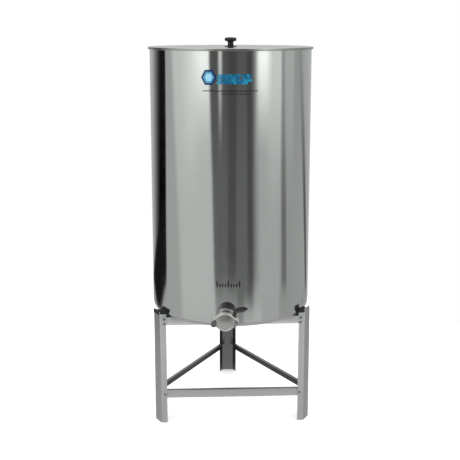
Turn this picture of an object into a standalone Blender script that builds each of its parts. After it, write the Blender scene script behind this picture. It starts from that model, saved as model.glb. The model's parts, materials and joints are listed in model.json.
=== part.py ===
# Honey maturing tank: a round stainless steel tank with a loose lid and a honey gate,
# standing on a three-legged stand of folded sheet steel.
# Metres, +Z up, the honey gate points to -Y, the floor is at z = 0.
# Run with: blender --background --python part.py

import math

import bmesh
import bpy
from mathutils import Matrix, Vector

# Driving dimensions
GAP = 0.0003                # clearance between pieces that touch
WELD = 0.00005              # points closer than this become one
TURN_STEPS = 72             # facets round the tank and the lid
RING_STEPS = 40             # facets round the gate's rings and bores
KNOB_STEPS = 32
SMALL_STEPS = 24            # facets round the small knobs and the hub
BOLT_STEPS = 16

TANK_R = 0.312              # a 2 m by 1 m sheet, rolled and welded, makes a tank of this radius
SHEET = 0.0015              # wall and bottom sheet
WALL_FOOT = 0.4493          # lower edge of the straight wall
KNUCKLE_R = 0.016           # rounded edge of the pressed bottom
BOTTOM_LAP = 0.012          # how far the bottom reaches up inside the wall
RIM_BEAD_R = 0.003          # rolled bead at the wall's top

LID_TOP = 1.4607
LID_SHEET = 0.0014
LID_R = 0.3184
LID_SKIRT = 0.009           # turned-down edge of the lid
LID_EDGE_R = 0.002          # rounded corner of the lid's edge

KNOB_HEIGHT = 0.0325
# The mushroom cap's outline: radius and depth below the knob's top
KNOB_CAP = [(0.0103, 0.0006), (0.0172, 0.0025), (0.0218, 0.0058), (0.0229, 0.0095),
            (0.0213, 0.0137), (0.0169, 0.0155)]
KNOB_STEM_R = 0.0110
KNOB_STEM_TOP = 0.0175      # below the knob's top
KNOB_FOOT_R = 0.0122
KNOB_FOOT_H = 0.0060
KNOB_ROOF = 0.0080          # solid part over the knob's bore
KNOB_WASHER_R = 0.0229
KNOB_WASHER_T = 0.0022
KNOB_SCREW_R = 0.0030
KNOB_SCREW_PLAY = 0.0020    # between the screw's end and the end of its bore
KNOB_SCREW_HEAD_R = 0.0060
KNOB_SCREW_HEAD_T = 0.0040

TAP_Z = 0.5022              # axis of the honey gate
TAP_BORE_R = 0.0225
SOCKET_R = 0.0275           # threaded socket welded into the wall
SOCKET_INSIDE = 0.014       # how far it stands inside the wall
SOCKET_OUT = 0.0360
HOLE_CUT = 0.0800           # length of the cutter for the socket's hole in the wall
GASKET_T = 0.0025
TAIL_FLANGE_T = 0.0060      # flange of the gate's body, caught by the ring nut
TAIL_FLANGE_R = 0.0272
NUT_R = 0.0340
NUT_START = 0.0040
NUT_END = 0.0680
NUT_CHAMFER = 0.0020
NECK_R = 0.0262
LOCK_RING_R = 0.0325
LOCK_RING_END = 0.0820
EYE_START = 0.1150          # back of the eye-shaped flange
EYE_T = 0.0105
EYE_R = 0.0332
EAR_X = 0.0400
EAR_R = 0.0095
NECK_BED = 0.0030           # how deep the neck runs into the flange
GATE_T = 0.0030
GATE_PLAY = 0.0005
GATE_R = 0.0305
GATE_ARM_START = 14.0       # degrees on the disc's edge between which the lever grows out
GATE_ARM_END = 55.0
# The lever, an arm and a leaf, from the disc's centre
GATE_LEVER = [(0.0400, 0.0150), (0.0405, 0.0330), (0.0520, 0.0350), (0.0655, 0.0375),
              (0.0740, 0.0425), (0.0808, 0.0494), (0.0735, 0.0540), (0.0640, 0.0559),
              (0.0520, 0.0540), (0.0400, 0.0505), (0.0320, 0.0440), (0.0270, 0.0320)]
MOUTH_R = 0.0285
BOLT_R = 0.0035
PIVOT_PLAY = 0.0005
BOLT_HEAD_R = 0.0068
BOLT_HEAD_T = 0.0045
PIVOT_THREAD = 0.0170       # how far each bolt stands out of the front flange
CLAMP_THREAD = 0.0120
PIVOT_KNOB_R = 0.0100
PIVOT_KNOB_LENGTH = 0.0247
PIVOT_KNOB_EDGE = 0.0020
PIVOT_KNOB_BORE = 0.0175
WING_HUB_R = 0.0065
WING_HUB_TOP_R = 0.0055
WING_HUB_LENGTH = 0.0100
WING_SPAN = 0.0250
WING_T = 0.0030
WING_LENGTH = 0.0075        # from a wing's tip to its root inside the hub
WING_HEIGHT = 0.0110
WING_LIFT = 0.0030          # the wings' foot over the hub's foot

STAND_TURN = math.radians(4.84)     # the stand's turn under the tank
LEG_ANGLES = {"leg_rear": 90.0, "leg_left": 210.0, "leg_right": 330.0}
LEG_RADIUS = 0.3385         # outer face of a leg's web
LEG_WEB = 0.0491
LEG_FLANGE = 0.0244
LEG_SHEET = 0.0020
LEG_FOLD = math.radians(60)         # each flange is folded back by this angle from the web
LEG_TOP = 0.4470            # upper end of the flanges
# The web goes on up as a tab that keeps the tank in its place; the left one is cut lower
LEG_TAB_TOPS = {"leg_rear": 0.4640, "leg_left": 0.4562, "leg_right": 0.4640}
LEG_TAB_BED = 0.0100        # how far the tab's solid runs down into the web
LEG_TAB_SHY = 0.0002        # keeps the tab's faces out of the planes of the web's
RAIL_HEIGHT = 0.0310
RAIL_FLANGE = 0.0160
RAIL_SHEET = 0.0020
RAIL_END_INSET = 0.0040     # from a rail's end to the corner of the leg
LOWER_RAIL_Z = 0.1035       # lower edge of the lower rails
PAD_T = 0.0120              # rubber pads in the legs' tops, from a leg's outer face to the tank
PAD_FOOT = 0.4355           # a pad hangs this low inside its leg, clear of the upper rails
PAD_TOP = 0.4495
PAD_SKIN = 0.0020           # the left pad is folded out over the tab
PAD_FOLD_FOOT = 0.4445
PAD_FOLD_ROOT = 0.4420      # how far the fold runs down into the pad
PAD_SHY = 0.0005            # keeps faces that are joined out of one plane
# Upper edges of the blocks: distance along the flange from the leg's corner, and height
BLOCK_EDGE = [(0.0010, 0.4715), (0.0160, 0.4650), (0.0244, 0.4580)]
LEFT_BLOCK_EDGE = [(0.0010, 0.4660), (0.0120, 0.4785), (0.0244, 0.4720)]
# Which flanges carry a block: leg, side of the leg, upper edge
PAD_BLOCKS = [("leg_left", 1, LEFT_BLOCK_EDGE), ("leg_right", -1, BLOCK_EDGE),
              ("leg_rear", 1, BLOCK_EDGE), ("leg_rear", -1, BLOCK_EDGE)]

# Sizes that follow
LID_UNDERSIDE = LID_TOP - LID_SHEET
WALL_TOP = LID_UNDERSIDE - GAP
TANK_UNDERSIDE = WALL_FOOT - KNUCKLE_R
UPPER_RAIL_Z = TANK_UNDERSIDE - GAP - RAIL_HEIGHT
GASKET_START = SOCKET_OUT + GAP
TAIL_START = GASKET_START + GASKET_T + GAP
TAIL_END = TAIL_START + TAIL_FLANGE_T
EYE_END = EYE_START + EYE_T
GATE_START = EYE_END + GATE_PLAY
FRONT_START = GATE_START + GATE_T + GATE_PLAY
FRONT_END = FRONT_START + EYE_T
KNOB_START = FRONT_END + GAP
REACH_FRONT = TANK_R + KNOB_START + PIVOT_KNOB_LENGTH
REACH_REAR = LEG_RADIUS * math.cos(STAND_TURN) + LEG_WEB / 2 * math.sin(STAND_TURN)
AXIS_Y = (REACH_FRONT - REACH_REAR) / 2     # puts the origin under the middle of the whole
# Distance of a flange's outer face from the axis, and the stand's corner along that face
FLANGE_FACE = LEG_RADIUS * math.cos(LEG_FOLD) + LEG_WEB / 2 * math.sin(LEG_FOLD)
FLANGE_CORNER = LEG_RADIUS * math.sin(LEG_FOLD) - LEG_WEB / 2 * math.cos(LEG_FOLD)


def clear_scene():
    for old in list(bpy.data.objects):
        bpy.data.objects.remove(old, do_unlink=True)


def new_collection(name):
    collection = bpy.data.collections.new(name)
    bpy.context.scene.collection.children.link(collection)
    return collection


clear_scene()
TANK = new_collection("honey_maturing_tank")
CUTTERS = new_collection("cutters")


def material(name, colour, roughness, metallic):
    mat = bpy.data.materials.new(name)
    mat.use_nodes = True
    shader = mat.node_tree.nodes["Principled BSDF"]
    shader.inputs["Base Color"].default_value = (*colour, 1.0)
    shader.inputs["Roughness"].default_value = roughness
    shader.inputs["Metallic"].default_value = metallic
    return mat


POLISHED = dict(colour=(0.60, 0.61, 0.60), roughness=0.12, metallic=1.0)
STAND_STEEL = dict(colour=(0.50, 0.51, 0.50), roughness=0.35, metallic=1.0)
CAST_STEEL = dict(colour=(0.42, 0.42, 0.42), roughness=0.35, metallic=1.0)
BLACK_PLASTIC = dict(colour=(0.02, 0.02, 0.02), roughness=0.35, metallic=0.0)
BLACK_RUBBER = dict(colour=(0.02, 0.02, 0.02), roughness=0.75, metallic=0.0)


def place(obj, parent, finish, location=(0, 0, 0), rotation=(0, 0, 0)):
    """Links a piece under its empty and gives it a material of its own."""
    TANK.objects.link(obj)
    obj.parent = parent
    obj.location = location
    obj.rotation_euler = rotation
    obj.data.materials.append(material(obj.name + "_finish", **finish))
    return obj


def arc(centre, radius, start, end, steps):
    """Points on an arc, both ends included, angles in degrees."""
    points = []
    for i in range(steps + 1):
        a = math.radians(start + (end - start) * i / steps)
        points.append((centre[0] + radius * math.cos(a), centre[1] + radius * math.sin(a)))
    return points


def turned(name, profile, steps):
    """A body of revolution about local Z, from a closed outline of (radius, height)."""
    mesh = bpy.data.meshes.new(name)
    bm = bmesh.new()
    verts = [bm.verts.new((r, 0, z)) for r, z in profile]
    for a, b in zip(verts, verts[1:] + verts[:1]):
        bm.edges.new((a, b))
    bm.to_mesh(mesh)
    bm.free()
    obj = bpy.data.objects.new(name, mesh)
    screw = obj.modifiers.new("turn", "SCREW")
    screw.axis = "Z"
    screw.angle = math.tau
    screw.steps = steps
    screw.render_steps = steps
    screw.use_merge_vertices = True
    screw.merge_threshold = WELD
    screw.use_smooth_shade = True
    return obj


def plate(name, outlines, thickness):
    """A flat piece in local XY from z = 0 to its thickness; later outlines are its holes."""
    curve = bpy.data.curves.new(name + "_outline", "CURVE")
    curve.dimensions = "2D"
    curve.fill_mode = "BOTH"
    curve.extrude = thickness / 2
    for outline in outlines:
        spline = curve.splines.new("POLY")
        spline.points.add(len(outline) - 1)
        for point, (x, y) in zip(spline.points, outline):
            point.co = (x, y, 0, 1)
        spline.use_cyclic_u = True
    guide = bpy.data.objects.new(name + "_guide", curve)
    bpy.context.scene.collection.objects.link(guide)
    bpy.context.view_layer.update()
    depsgraph = bpy.context.evaluated_depsgraph_get()
    mesh = bpy.data.meshes.new_from_object(guide.evaluated_get(depsgraph))
    bpy.data.objects.remove(guide, do_unlink=True)
    bpy.data.curves.remove(curve)
    bm = bmesh.new()
    bm.from_mesh(mesh)
    bmesh.ops.remove_doubles(bm, verts=bm.verts, dist=WELD)
    bmesh.ops.translate(bm, verts=bm.verts, vec=(0, 0, thickness / 2))
    bmesh.ops.recalc_face_normals(bm, faces=bm.faces)
    bm.to_mesh(mesh)
    bm.free()
    mesh.name = name
    return bpy.data.objects.new(name, mesh)


def circle(radius, steps, centre=(0, 0)):
    return arc(centre, radius, 0, 360, steps)[:-1]


def rod(name, radius, length, steps, start=0.0):
    """A plain cylinder along local Z, as a mesh object."""
    mesh = bpy.data.meshes.new(name)
    bm = bmesh.new()
    bmesh.ops.create_cone(bm, cap_ends=True, segments=steps, radius1=radius, radius2=radius,
                          depth=length, matrix=Matrix.Translation((0, 0, start + length / 2)))
    bm.to_mesh(mesh)
    bm.free()
    return bpy.data.objects.new(name, mesh)


def block(name, size, centre):
    mesh = bpy.data.meshes.new(name)
    bm = bmesh.new()
    bmesh.ops.create_cube(bm, size=1.0)
    bmesh.ops.scale(bm, verts=bm.verts, vec=size)
    bmesh.ops.translate(bm, verts=bm.verts, vec=centre)
    bm.to_mesh(mesh)
    bm.free()
    return bpy.data.objects.new(name, mesh)


def cutter(obj, parent, location=(0, 0, 0), rotation=(0, 0, 0)):
    CUTTERS.objects.link(obj)
    obj.parent = parent
    obj.location = location
    obj.rotation_euler = rotation
    obj.display_type = "WIRE"
    obj.hide_render = True
    return obj


def combine(obj, other, operation):
    boolean = obj.modifiers.new(operation.lower() + "_" + other.name, "BOOLEAN")
    boolean.operation = operation
    boolean.solver = "EXACT"
    boolean.object = other
    return boolean


def empty(name, location=(0, 0, 0), rotation=(0, 0, 0), parent=None):
    obj = bpy.data.objects.new(name, None)
    TANK.objects.link(obj)
    obj.parent = parent
    obj.location = location
    obj.rotation_euler = rotation
    return obj


# The tank stands at AXIS_Y; the tap's frame has its Z along the honey gate's axis, out of the wall
tank_axis = empty("tank_axis", (0, AXIS_Y, 0))
tap_axis = empty("tap_axis", (0, -TANK_R, TAP_Z), (math.pi / 2, 0, 0), tank_axis)
stand_axis = empty("stand_axis", (0, 0, 0), (0, 0, STAND_TURN), tank_axis)


def make_wall():
    """Rolled sheet with a bead at its top edge and a hole for the socket."""
    inner = TANK_R - SHEET
    bead = arc((TANK_R, WALL_TOP - RIM_BEAD_R), RIM_BEAD_R, 90, -90, 6)
    profile = [(inner, WALL_TOP)] + bead + [(TANK_R, WALL_FOOT), (inner, WALL_FOOT)]
    wall = place(turned("tank_wall", profile, TURN_STEPS), tank_axis, POLISHED)
    hole = rod("socket_hole", SOCKET_R + GAP, HOLE_CUT, RING_STEPS, start=-HOLE_CUT / 2)
    combine(wall, cutter(hole, tap_axis), "DIFFERENCE")


def make_bottom():
    """Pressed dish: its flange stands inside the wall, its knuckle shows below the wall's edge."""
    outer = TANK_R - SHEET - GAP
    top = WALL_FOOT + BOTTOM_LAP
    centre = (outer - KNUCKLE_R, WALL_FOOT)
    profile = [(outer, top)]
    profile += arc(centre, KNUCKLE_R, 0, -90, 6)
    profile += [(0, TANK_UNDERSIDE), (0, TANK_UNDERSIDE + SHEET)]
    profile += arc(centre, KNUCKLE_R - SHEET, -90, 0, 6)
    profile += [(outer - SHEET, top)]
    place(turned("tank_bottom", profile, TURN_STEPS), tank_axis, POLISHED)


def make_lid():
    """Flat disc with a turned-down edge and a hole for the knob's screw."""
    hole = KNOB_SCREW_R + GAP
    edge = arc((LID_R - LID_EDGE_R, LID_TOP - LID_EDGE_R), LID_EDGE_R, 90, 0, 3)
    foot = LID_TOP - LID_SKIRT
    profile = [(hole, LID_TOP)] + edge
    profile += [(LID_R, foot), (LID_R - LID_SHEET, foot), (LID_R - LID_SHEET, LID_UNDERSIDE)]
    profile += [(hole, LID_UNDERSIDE)]
    place(turned("lid", profile, TURN_STEPS), tank_axis, POLISHED)


def make_knob():
    """Mushroom knob on a washer, held by a screw from inside the lid."""
    bore = KNOB_SCREW_R + GAP
    washer_foot = LID_TOP + GAP
    washer_top = washer_foot + KNOB_WASHER_T
    washer = [(bore, washer_top), (KNOB_WASHER_R, washer_top)]
    washer += [(KNOB_WASHER_R, washer_foot), (bore, washer_foot)]
    place(turned("knob_washer", washer, KNOB_STEPS), tank_axis, BLACK_PLASTIC)

    foot = washer_top + GAP
    top = foot + KNOB_HEIGHT
    bore_end = top - KNOB_ROOF
    knob = [(0, top)] + [(r, top - depth) for r, depth in KNOB_CAP]
    knob += [(KNOB_STEM_R, top - KNOB_STEM_TOP), (KNOB_STEM_R, foot + KNOB_FOOT_H)]
    knob += [(KNOB_FOOT_R, foot), (bore, foot), (bore, bore_end), (0, bore_end)]
    place(turned("lid_knob", knob, KNOB_STEPS), tank_axis, BLACK_PLASTIC)

    end = bore_end - KNOB_SCREW_PLAY
    seat = LID_UNDERSIDE - GAP
    screw = [(0, end), (KNOB_SCREW_R, end), (KNOB_SCREW_R, seat), (KNOB_SCREW_HEAD_R, seat)]
    screw += [(KNOB_SCREW_HEAD_R, seat - KNOB_SCREW_HEAD_T), (0, seat - KNOB_SCREW_HEAD_T)]
    place(turned("knob_screw", screw, BOLT_STEPS), tank_axis, CAST_STEEL)


def eye_outline():
    """Outline of the flange: a round middle drawn out to an ear on each side."""
    lean = math.degrees(math.acos((EYE_R - EAR_R) / EAR_X))
    right = arc((EAR_X, 0), EAR_R, -lean, lean, 14)
    top = arc((0, 0), EYE_R, lean, 180 - lean, 14)
    left = arc((-EAR_X, 0), EAR_R, 180 - lean, 180 + lean, 14)
    bottom = arc((0, 0), EYE_R, 180 + lean, 360 - lean, 14)
    return right + top + left + bottom


def ring(name, inner, outer, low, high, finish):
    """A plain ring on the tap's axis."""
    profile = [(inner, high), (outer, high), (outer, low), (inner, low)]
    place(turned(name, profile, RING_STEPS), tap_axis, finish)


def make_socket_and_nut():
    ring("tap_socket", TAP_BORE_R, SOCKET_R, -SOCKET_INSIDE, SOCKET_OUT, CAST_STEEL)
    gasket_end = GASKET_START + GASKET_T
    ring("tap_gasket", TAP_BORE_R, TAIL_FLANGE_R, GASKET_START, gasket_end, BLACK_RUBBER)
    ring("tap_lock_ring", NECK_R + GAP, LOCK_RING_R, NUT_END + GAP, LOCK_RING_END, POLISHED)

    thread = SOCKET_R + GAP
    lip = TAIL_END + GAP
    chamfered = NUT_R - NUT_CHAMFER
    nut = [(NECK_R + GAP, NUT_END), (chamfered, NUT_END), (NUT_R, NUT_END - NUT_CHAMFER)]
    nut += [(NUT_R, NUT_START + NUT_CHAMFER), (chamfered, NUT_START), (thread, NUT_START)]
    nut += [(thread, lip), (NECK_R + GAP, lip)]
    place(turned("tap_ring_nut", nut, RING_STEPS), tap_axis, BLACK_PLASTIC)


def make_tap_body():
    """Tail flange and neck, turned, joined to the rear half of the eye-shaped flange."""
    bolt_holes = [circle(BOLT_R + GAP, BOLT_STEPS, (x, 0)) for x in (-EAR_X, EAR_X)]
    outlines = [eye_outline(), circle(TAP_BORE_R, RING_STEPS)] + bolt_holes
    body = plate("tap_body", outlines, EYE_T)
    place(body, tap_axis, CAST_STEEL, location=(0, 0, EYE_START))
    bed = EYE_START + NECK_BED
    neck = [(TAP_BORE_R, bed), (NECK_R, bed), (NECK_R, TAIL_END), (TAIL_FLANGE_R, TAIL_END)]
    neck += [(TAIL_FLANGE_R, TAIL_START), (TAP_BORE_R, TAIL_START)]
    combine(body, cutter(turned("tap_neck", neck, RING_STEPS), tap_axis), "UNION")

    outlines = [eye_outline(), circle(MOUTH_R, RING_STEPS)] + bolt_holes
    front = plate("tap_front_flange", outlines, EYE_T)
    place(front, tap_axis, CAST_STEEL, location=(0, 0, FRONT_START))


def gate_outline():
    """Blade: an ear round the pivot at the origin, the disc, and a leaf-shaped lever."""
    centre = (EAR_X, 0)
    lean = math.degrees(math.acos((GATE_R - EAR_R) / EAR_X))
    ear = arc((0, 0), EAR_R, 180 - lean, 180 + lean, 8)
    low = arc(centre, GATE_R, 180 + lean, 360 + GATE_ARM_START, 14)
    lever = [(EAR_X + x, y) for x, y in GATE_LEVER]
    high = arc(centre, GATE_R, GATE_ARM_END, 180 - lean, 8)
    return ear + low + lever + high


def make_gate():
    hole = circle(BOLT_R + PIVOT_PLAY, BOLT_STEPS)
    gate = plate("tap_gate", [gate_outline(), hole], GATE_T)
    place(gate, tap_axis, CAST_STEEL, location=(-EAR_X, 0, GATE_START))


def make_bolts():
    """Pivot bolt with its round knob on the left ear, clamp bolt with a wing nut on the right."""
    seat = EYE_START - GAP
    head_low = seat - BOLT_HEAD_T
    bolts = [("pivot_screw", -EAR_X, PIVOT_THREAD), ("clamp_screw", EAR_X, CLAMP_THREAD)]
    for name, x, length in bolts:
        end = KNOB_START + length
        profile = [(0, end), (BOLT_R, end), (BOLT_R, seat), (BOLT_HEAD_R, seat)]
        profile += [(BOLT_HEAD_R, head_low), (0, head_low)]
        place(turned(name, profile, BOLT_STEPS), tap_axis, CAST_STEEL, location=(x, 0, 0))

    bore = BOLT_R + GAP
    top = KNOB_START + PIVOT_KNOB_LENGTH
    rim = PIVOT_KNOB_R - PIVOT_KNOB_EDGE
    blind = KNOB_START + PIVOT_KNOB_BORE
    knob = [(0, top), (rim, top), (PIVOT_KNOB_R, top - PIVOT_KNOB_EDGE)]
    knob += [(PIVOT_KNOB_R, KNOB_START + PIVOT_KNOB_EDGE), (rim, KNOB_START)]
    knob += [(bore, KNOB_START), (bore, blind), (0, blind)]
    pivot_knob = turned("pivot_knob", knob, SMALL_STEPS)
    place(pivot_knob, tap_axis, BLACK_PLASTIC, location=(-EAR_X, 0, 0))

    top = KNOB_START + WING_HUB_LENGTH
    hub = [(bore, top), (WING_HUB_TOP_R, top), (WING_HUB_R, KNOB_START), (bore, KNOB_START)]
    nut = turned("clamp_wing_nut", hub, SMALL_STEPS)
    place(nut, tap_axis, CAST_STEEL, location=(EAR_X, 0, 0))
    middle = (WING_SPAN - WING_LENGTH) / 2
    height = KNOB_START + WING_LIFT + WING_HEIGHT / 2
    for label, y in (("up", middle), ("down", -middle)):
        wing = block("wing_" + label, (WING_T, WING_LENGTH, WING_HEIGHT), (0, y, height))
        combine(nut, cutter(wing, tap_axis, location=(EAR_X, 0, 0)), "UNION")


def leg_strip(depth, tip_inset=0.0):
    """Outer corners of a leg's section, moved inward by depth, in the leg's own frame.

    X points away from the tank's axis. The flanges are folded back from the web.
    """
    out = LEG_RADIUS - depth
    half = LEG_WEB / 2 - depth * math.tan(LEG_FOLD / 2)
    along = Vector((-math.sin(LEG_FOLD), math.cos(LEG_FOLD)))
    inward = Vector((-math.cos(LEG_FOLD), -math.sin(LEG_FOLD)))
    corner = Vector((LEG_RADIUS, LEG_WEB / 2))
    tip = corner + along * (LEG_FLANGE - tip_inset) + inward * depth
    return [(tip.x, -tip.y), (out, -half), (out, half), (tip.x, tip.y)]


def make_legs():
    for name, angle in LEG_ANGLES.items():
        turn = (0, 0, math.radians(angle))
        strip = leg_strip(0) + leg_strip(LEG_SHEET)[::-1]
        leg = plate(name, [strip], LEG_TOP)
        place(leg, stand_axis, STAND_STEEL, rotation=turn)
        outer = LEG_RADIUS - LEG_TAB_SHY
        inner = LEG_RADIUS - LEG_SHEET + LEG_TAB_SHY
        half = LEG_WEB / 2 - LEG_SHEET
        web = [(outer, -half), (outer, half), (inner, half), (inner, -half)]
        foot = LEG_TOP - LEG_TAB_BED
        tab = plate(name + "_tab", [web], LEG_TAB_TOPS[name] - foot)
        combine(leg, cutter(tab, stand_axis, (0, 0, foot), turn), "UNION")


def add_pad_block(pad, turn, side, edge):
    """A block that rises from the pad over a flange's top, drawn in the flange's plane."""
    foot = LEG_TOP + GAP
    outline = [(edge[0][0], foot), (edge[-1][0], foot)] + edge[::-1]
    block = plate(f"{pad.name}_block_{side + 1}", [outline], PAD_T)
    # The plate's thickness points out of the leg on one side of the web, into it on the other
    depth = PAD_T if side > 0 else 0
    corner = Vector((LEG_RADIUS - depth * math.cos(LEG_FOLD),
                     side * (LEG_WEB / 2 - depth * math.sin(LEG_FOLD)), 0))
    corner.rotate(Matrix.Rotation(turn, 3, "Z"))
    along = turn + side * (math.pi / 2 + LEG_FOLD)
    combine(pad, cutter(block, stand_axis, corner, (math.pi / 2, 0, along)), "UNION")


def add_pad_fold(pad, turn, tab_top):
    """The part of the left pad that is folded out over the leg's tab, as a hook's section."""
    skin_in = LEG_RADIUS + GAP
    skin_out = skin_in + PAD_SKIN
    inside = LEG_RADIUS - LEG_SHEET - GAP - PAD_SHY
    over_tab = tab_top + GAP
    top = over_tab + PAD_SKIN
    hook = [(skin_out, PAD_FOLD_FOOT), (skin_out, top), (inside - PAD_SKIN, top)]
    hook += [(inside - PAD_SKIN, PAD_FOLD_ROOT), (inside, PAD_FOLD_ROOT), (inside, over_tab)]
    hook += [(skin_in, over_tab), (skin_in, PAD_FOLD_FOOT)]
    width = LEG_WEB - 2 * LEG_SHEET
    fold = plate(pad.name + "_fold", [hook], width)
    start = Vector((-math.sin(turn), math.cos(turn), 0)) * width / 2
    combine(pad, cutter(fold, stand_axis, start, (math.pi / 2, 0, turn)), "UNION")


def make_pads():
    """Rubber pads that hang inside the legs' tops."""
    core = leg_strip(LEG_SHEET + GAP, PAD_SHY) + leg_strip(PAD_T - PAD_SHY, PAD_SHY)[::-1]
    for name, angle in LEG_ANGLES.items():
        turn = math.radians(angle)
        pad = plate(name.replace("leg", "pad"), [core], PAD_TOP - PAD_FOOT)
        place(pad, stand_axis, BLACK_RUBBER, (0, 0, PAD_FOOT), (0, 0, turn))
        for leg, side, edge in PAD_BLOCKS:
            if leg == name:
                add_pad_block(pad, turn, side, edge)
        if name == "leg_left":
            add_pad_fold(pad, turn, LEG_TAB_TOPS[name])


def make_rails():
    """Folded angles that lie against the inner faces of the legs' flanges."""
    face = FLANGE_FACE - LEG_SHEET - GAP
    inner = face - RAIL_SHEET
    tip = face - RAIL_FLANGE
    under_flange = RAIL_HEIGHT - RAIL_SHEET
    section = [(face, 0), (face, RAIL_HEIGHT), (tip, RAIL_HEIGHT), (tip, under_flange)]
    section += [(inner, under_flange), (inner, 0)]
    length = 2 * (FLANGE_CORNER - RAIL_END_INSET)
    for level, low in (("lower", LOWER_RAIL_Z), ("upper", UPPER_RAIL_Z)):
        for side, angle in (("front", 270.0), ("right", 30.0), ("left", 150.0)):
            name = f"{level}_rail_{side}"
            holder = empty(name + "_axis", (0, 0, low), (0, 0, math.radians(angle)), stand_axis)
            rail = plate(name, [section], length)
            place(rail, holder, STAND_STEEL, (0, length / 2, 0), (math.pi / 2, 0, 0))


make_wall()
make_bottom()
make_lid()
make_knob()
make_socket_and_nut()
make_tap_body()
make_gate()
make_bolts()
make_legs()
make_pads()
make_rails()
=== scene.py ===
# %% [markdown]
# # A honey maturing tank
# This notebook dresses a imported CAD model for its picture. The tank is a tall drum of bright
# stainless sheet with a loose lid and a honey gate near its foot, on a stand of folded sheet.
# The CAD model is the fixed frame: it gives every size, and it moves at the joints. Each piece
# made here rides on a CAD body, and most pieces stand for a CAD node that is too plain to show.
# Sizes are in millimetres, as on a drawing, and become metres where Blender takes them. +Z is up
# and the honey gate points to -Y.

import json
import math

import bmesh
import bpy
from mathutils import Matrix, Vector

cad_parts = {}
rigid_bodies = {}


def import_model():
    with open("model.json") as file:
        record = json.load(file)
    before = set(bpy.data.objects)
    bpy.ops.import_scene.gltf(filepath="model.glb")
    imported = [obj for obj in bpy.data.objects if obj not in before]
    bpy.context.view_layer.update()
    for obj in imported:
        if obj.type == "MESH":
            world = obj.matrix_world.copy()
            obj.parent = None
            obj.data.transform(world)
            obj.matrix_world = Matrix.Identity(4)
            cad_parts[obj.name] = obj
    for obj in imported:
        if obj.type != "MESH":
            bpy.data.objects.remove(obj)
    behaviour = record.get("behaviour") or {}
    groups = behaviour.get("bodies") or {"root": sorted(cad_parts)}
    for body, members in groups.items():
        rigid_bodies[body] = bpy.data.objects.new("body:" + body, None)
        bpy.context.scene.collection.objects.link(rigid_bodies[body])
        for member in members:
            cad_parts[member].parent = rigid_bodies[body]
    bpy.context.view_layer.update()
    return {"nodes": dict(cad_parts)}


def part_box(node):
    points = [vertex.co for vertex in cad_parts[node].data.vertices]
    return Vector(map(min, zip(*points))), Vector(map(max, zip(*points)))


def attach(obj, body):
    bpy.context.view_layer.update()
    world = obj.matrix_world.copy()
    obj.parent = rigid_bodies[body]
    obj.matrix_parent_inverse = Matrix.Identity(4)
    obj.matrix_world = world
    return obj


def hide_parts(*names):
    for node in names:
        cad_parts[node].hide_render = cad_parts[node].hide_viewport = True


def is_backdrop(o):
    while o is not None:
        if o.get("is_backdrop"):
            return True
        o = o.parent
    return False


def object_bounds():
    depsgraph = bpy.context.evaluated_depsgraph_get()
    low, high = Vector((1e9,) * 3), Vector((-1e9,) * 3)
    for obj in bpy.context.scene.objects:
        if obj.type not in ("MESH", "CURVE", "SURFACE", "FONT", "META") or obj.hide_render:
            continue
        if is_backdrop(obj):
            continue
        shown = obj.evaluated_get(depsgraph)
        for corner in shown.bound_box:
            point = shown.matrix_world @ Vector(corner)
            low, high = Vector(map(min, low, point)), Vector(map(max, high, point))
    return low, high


MM = 0.001
scene = bpy.context.scene
for startup in list(bpy.data.objects):
    bpy.data.objects.remove(startup)
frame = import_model()


def box(node):
    """The low and the high corner of a CAD node, in millimetres."""
    return [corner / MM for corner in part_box(node)]


# %% [markdown]
# ## The frame of each part
# The tank's axis is the middle of the lid, so it's read from the frame and not typed in. The
# gate has a frame of its own, whose Z runs out of the wall along the gate's axis, because turned
# parts are easiest to draw about Z. The stand has its own turn under the tank.

# %% Axes of the tank, the gate and the stand
lid_low, lid_high = box("lid")
AXIS_Y = (lid_low.y + lid_high.y) / 2
TANK_R, TAP_Z = 312, 502.2
STAND_TURN = math.radians(4.84)
GAP = 0.3                   # play between pieces that touch


def shift(x=0, y=0, z=0):
    """A move in millimetres, as a matrix."""
    return Matrix.Translation((x * MM, y * MM, z * MM))


to_front = Matrix.Rotation(math.pi / 2, 4, "X")     # turns Z to point at the viewer
tank_frame = shift(y=AXIS_Y)
tap_frame = shift(0, AXIS_Y - TANK_R, TAP_Z) @ to_front
stand_frame = tank_frame @ Matrix.Rotation(STAND_TURN, 4, "Z")
print("tank axis at y =", round(AXIS_Y, 2), "wall front at y =", round(AXIS_Y - TANK_R, 2))

# %% [markdown]
# ## The camera
# A long lens stands a little above the lid and looks down at the tank by 11 degrees. The lens is
# shifted, so that the whole tank fits the square picture without a steeper look down.

# %% Camera
CAMERA_TURN, CAMERA_DIP = math.radians(2.45), 0.1913    # radians
CAMERA_DISTANCE, CAMERA_HEIGHT = 3358, 1534.4
SENSOR, LENS, LENS_SHIFT = 36, 67.157, (-0.0013, -0.08)

camera = bpy.data.objects.new("camera", bpy.data.cameras.new("camera"))
scene.collection.objects.link(camera)
scene.camera = camera
camera.data.sensor_width, camera.data.lens = SENSOR, LENS
camera.data.shift_x, camera.data.shift_y = LENS_SHIFT
camera.location = shift(math.sin(CAMERA_TURN) * CAMERA_DISTANCE,
                        AXIS_Y - math.cos(CAMERA_TURN) * CAMERA_DISTANCE,
                        CAMERA_HEIGHT).translation
camera.rotation_euler = (math.pi / 2 - CAMERA_DIP, 0, CAMERA_TURN)
print("camera", [round(v, 3) for v in camera.location])

# %% [markdown]
# ## Two small helpers for node trees
# Colours are written as web hex codes, which are sRGB. Cycles works with linear light, so one
# function turns a code to linear values. Another adds a node of any kind to any tree. Its inputs
# come in the order of the node's sockets, where None leaves one as it is, or in a dictionary by
# name or number. An input may be a constant, a socket, or a node: then the node's first output
# that is in use is linked. The kinds of node that come up most get short names.

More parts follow.
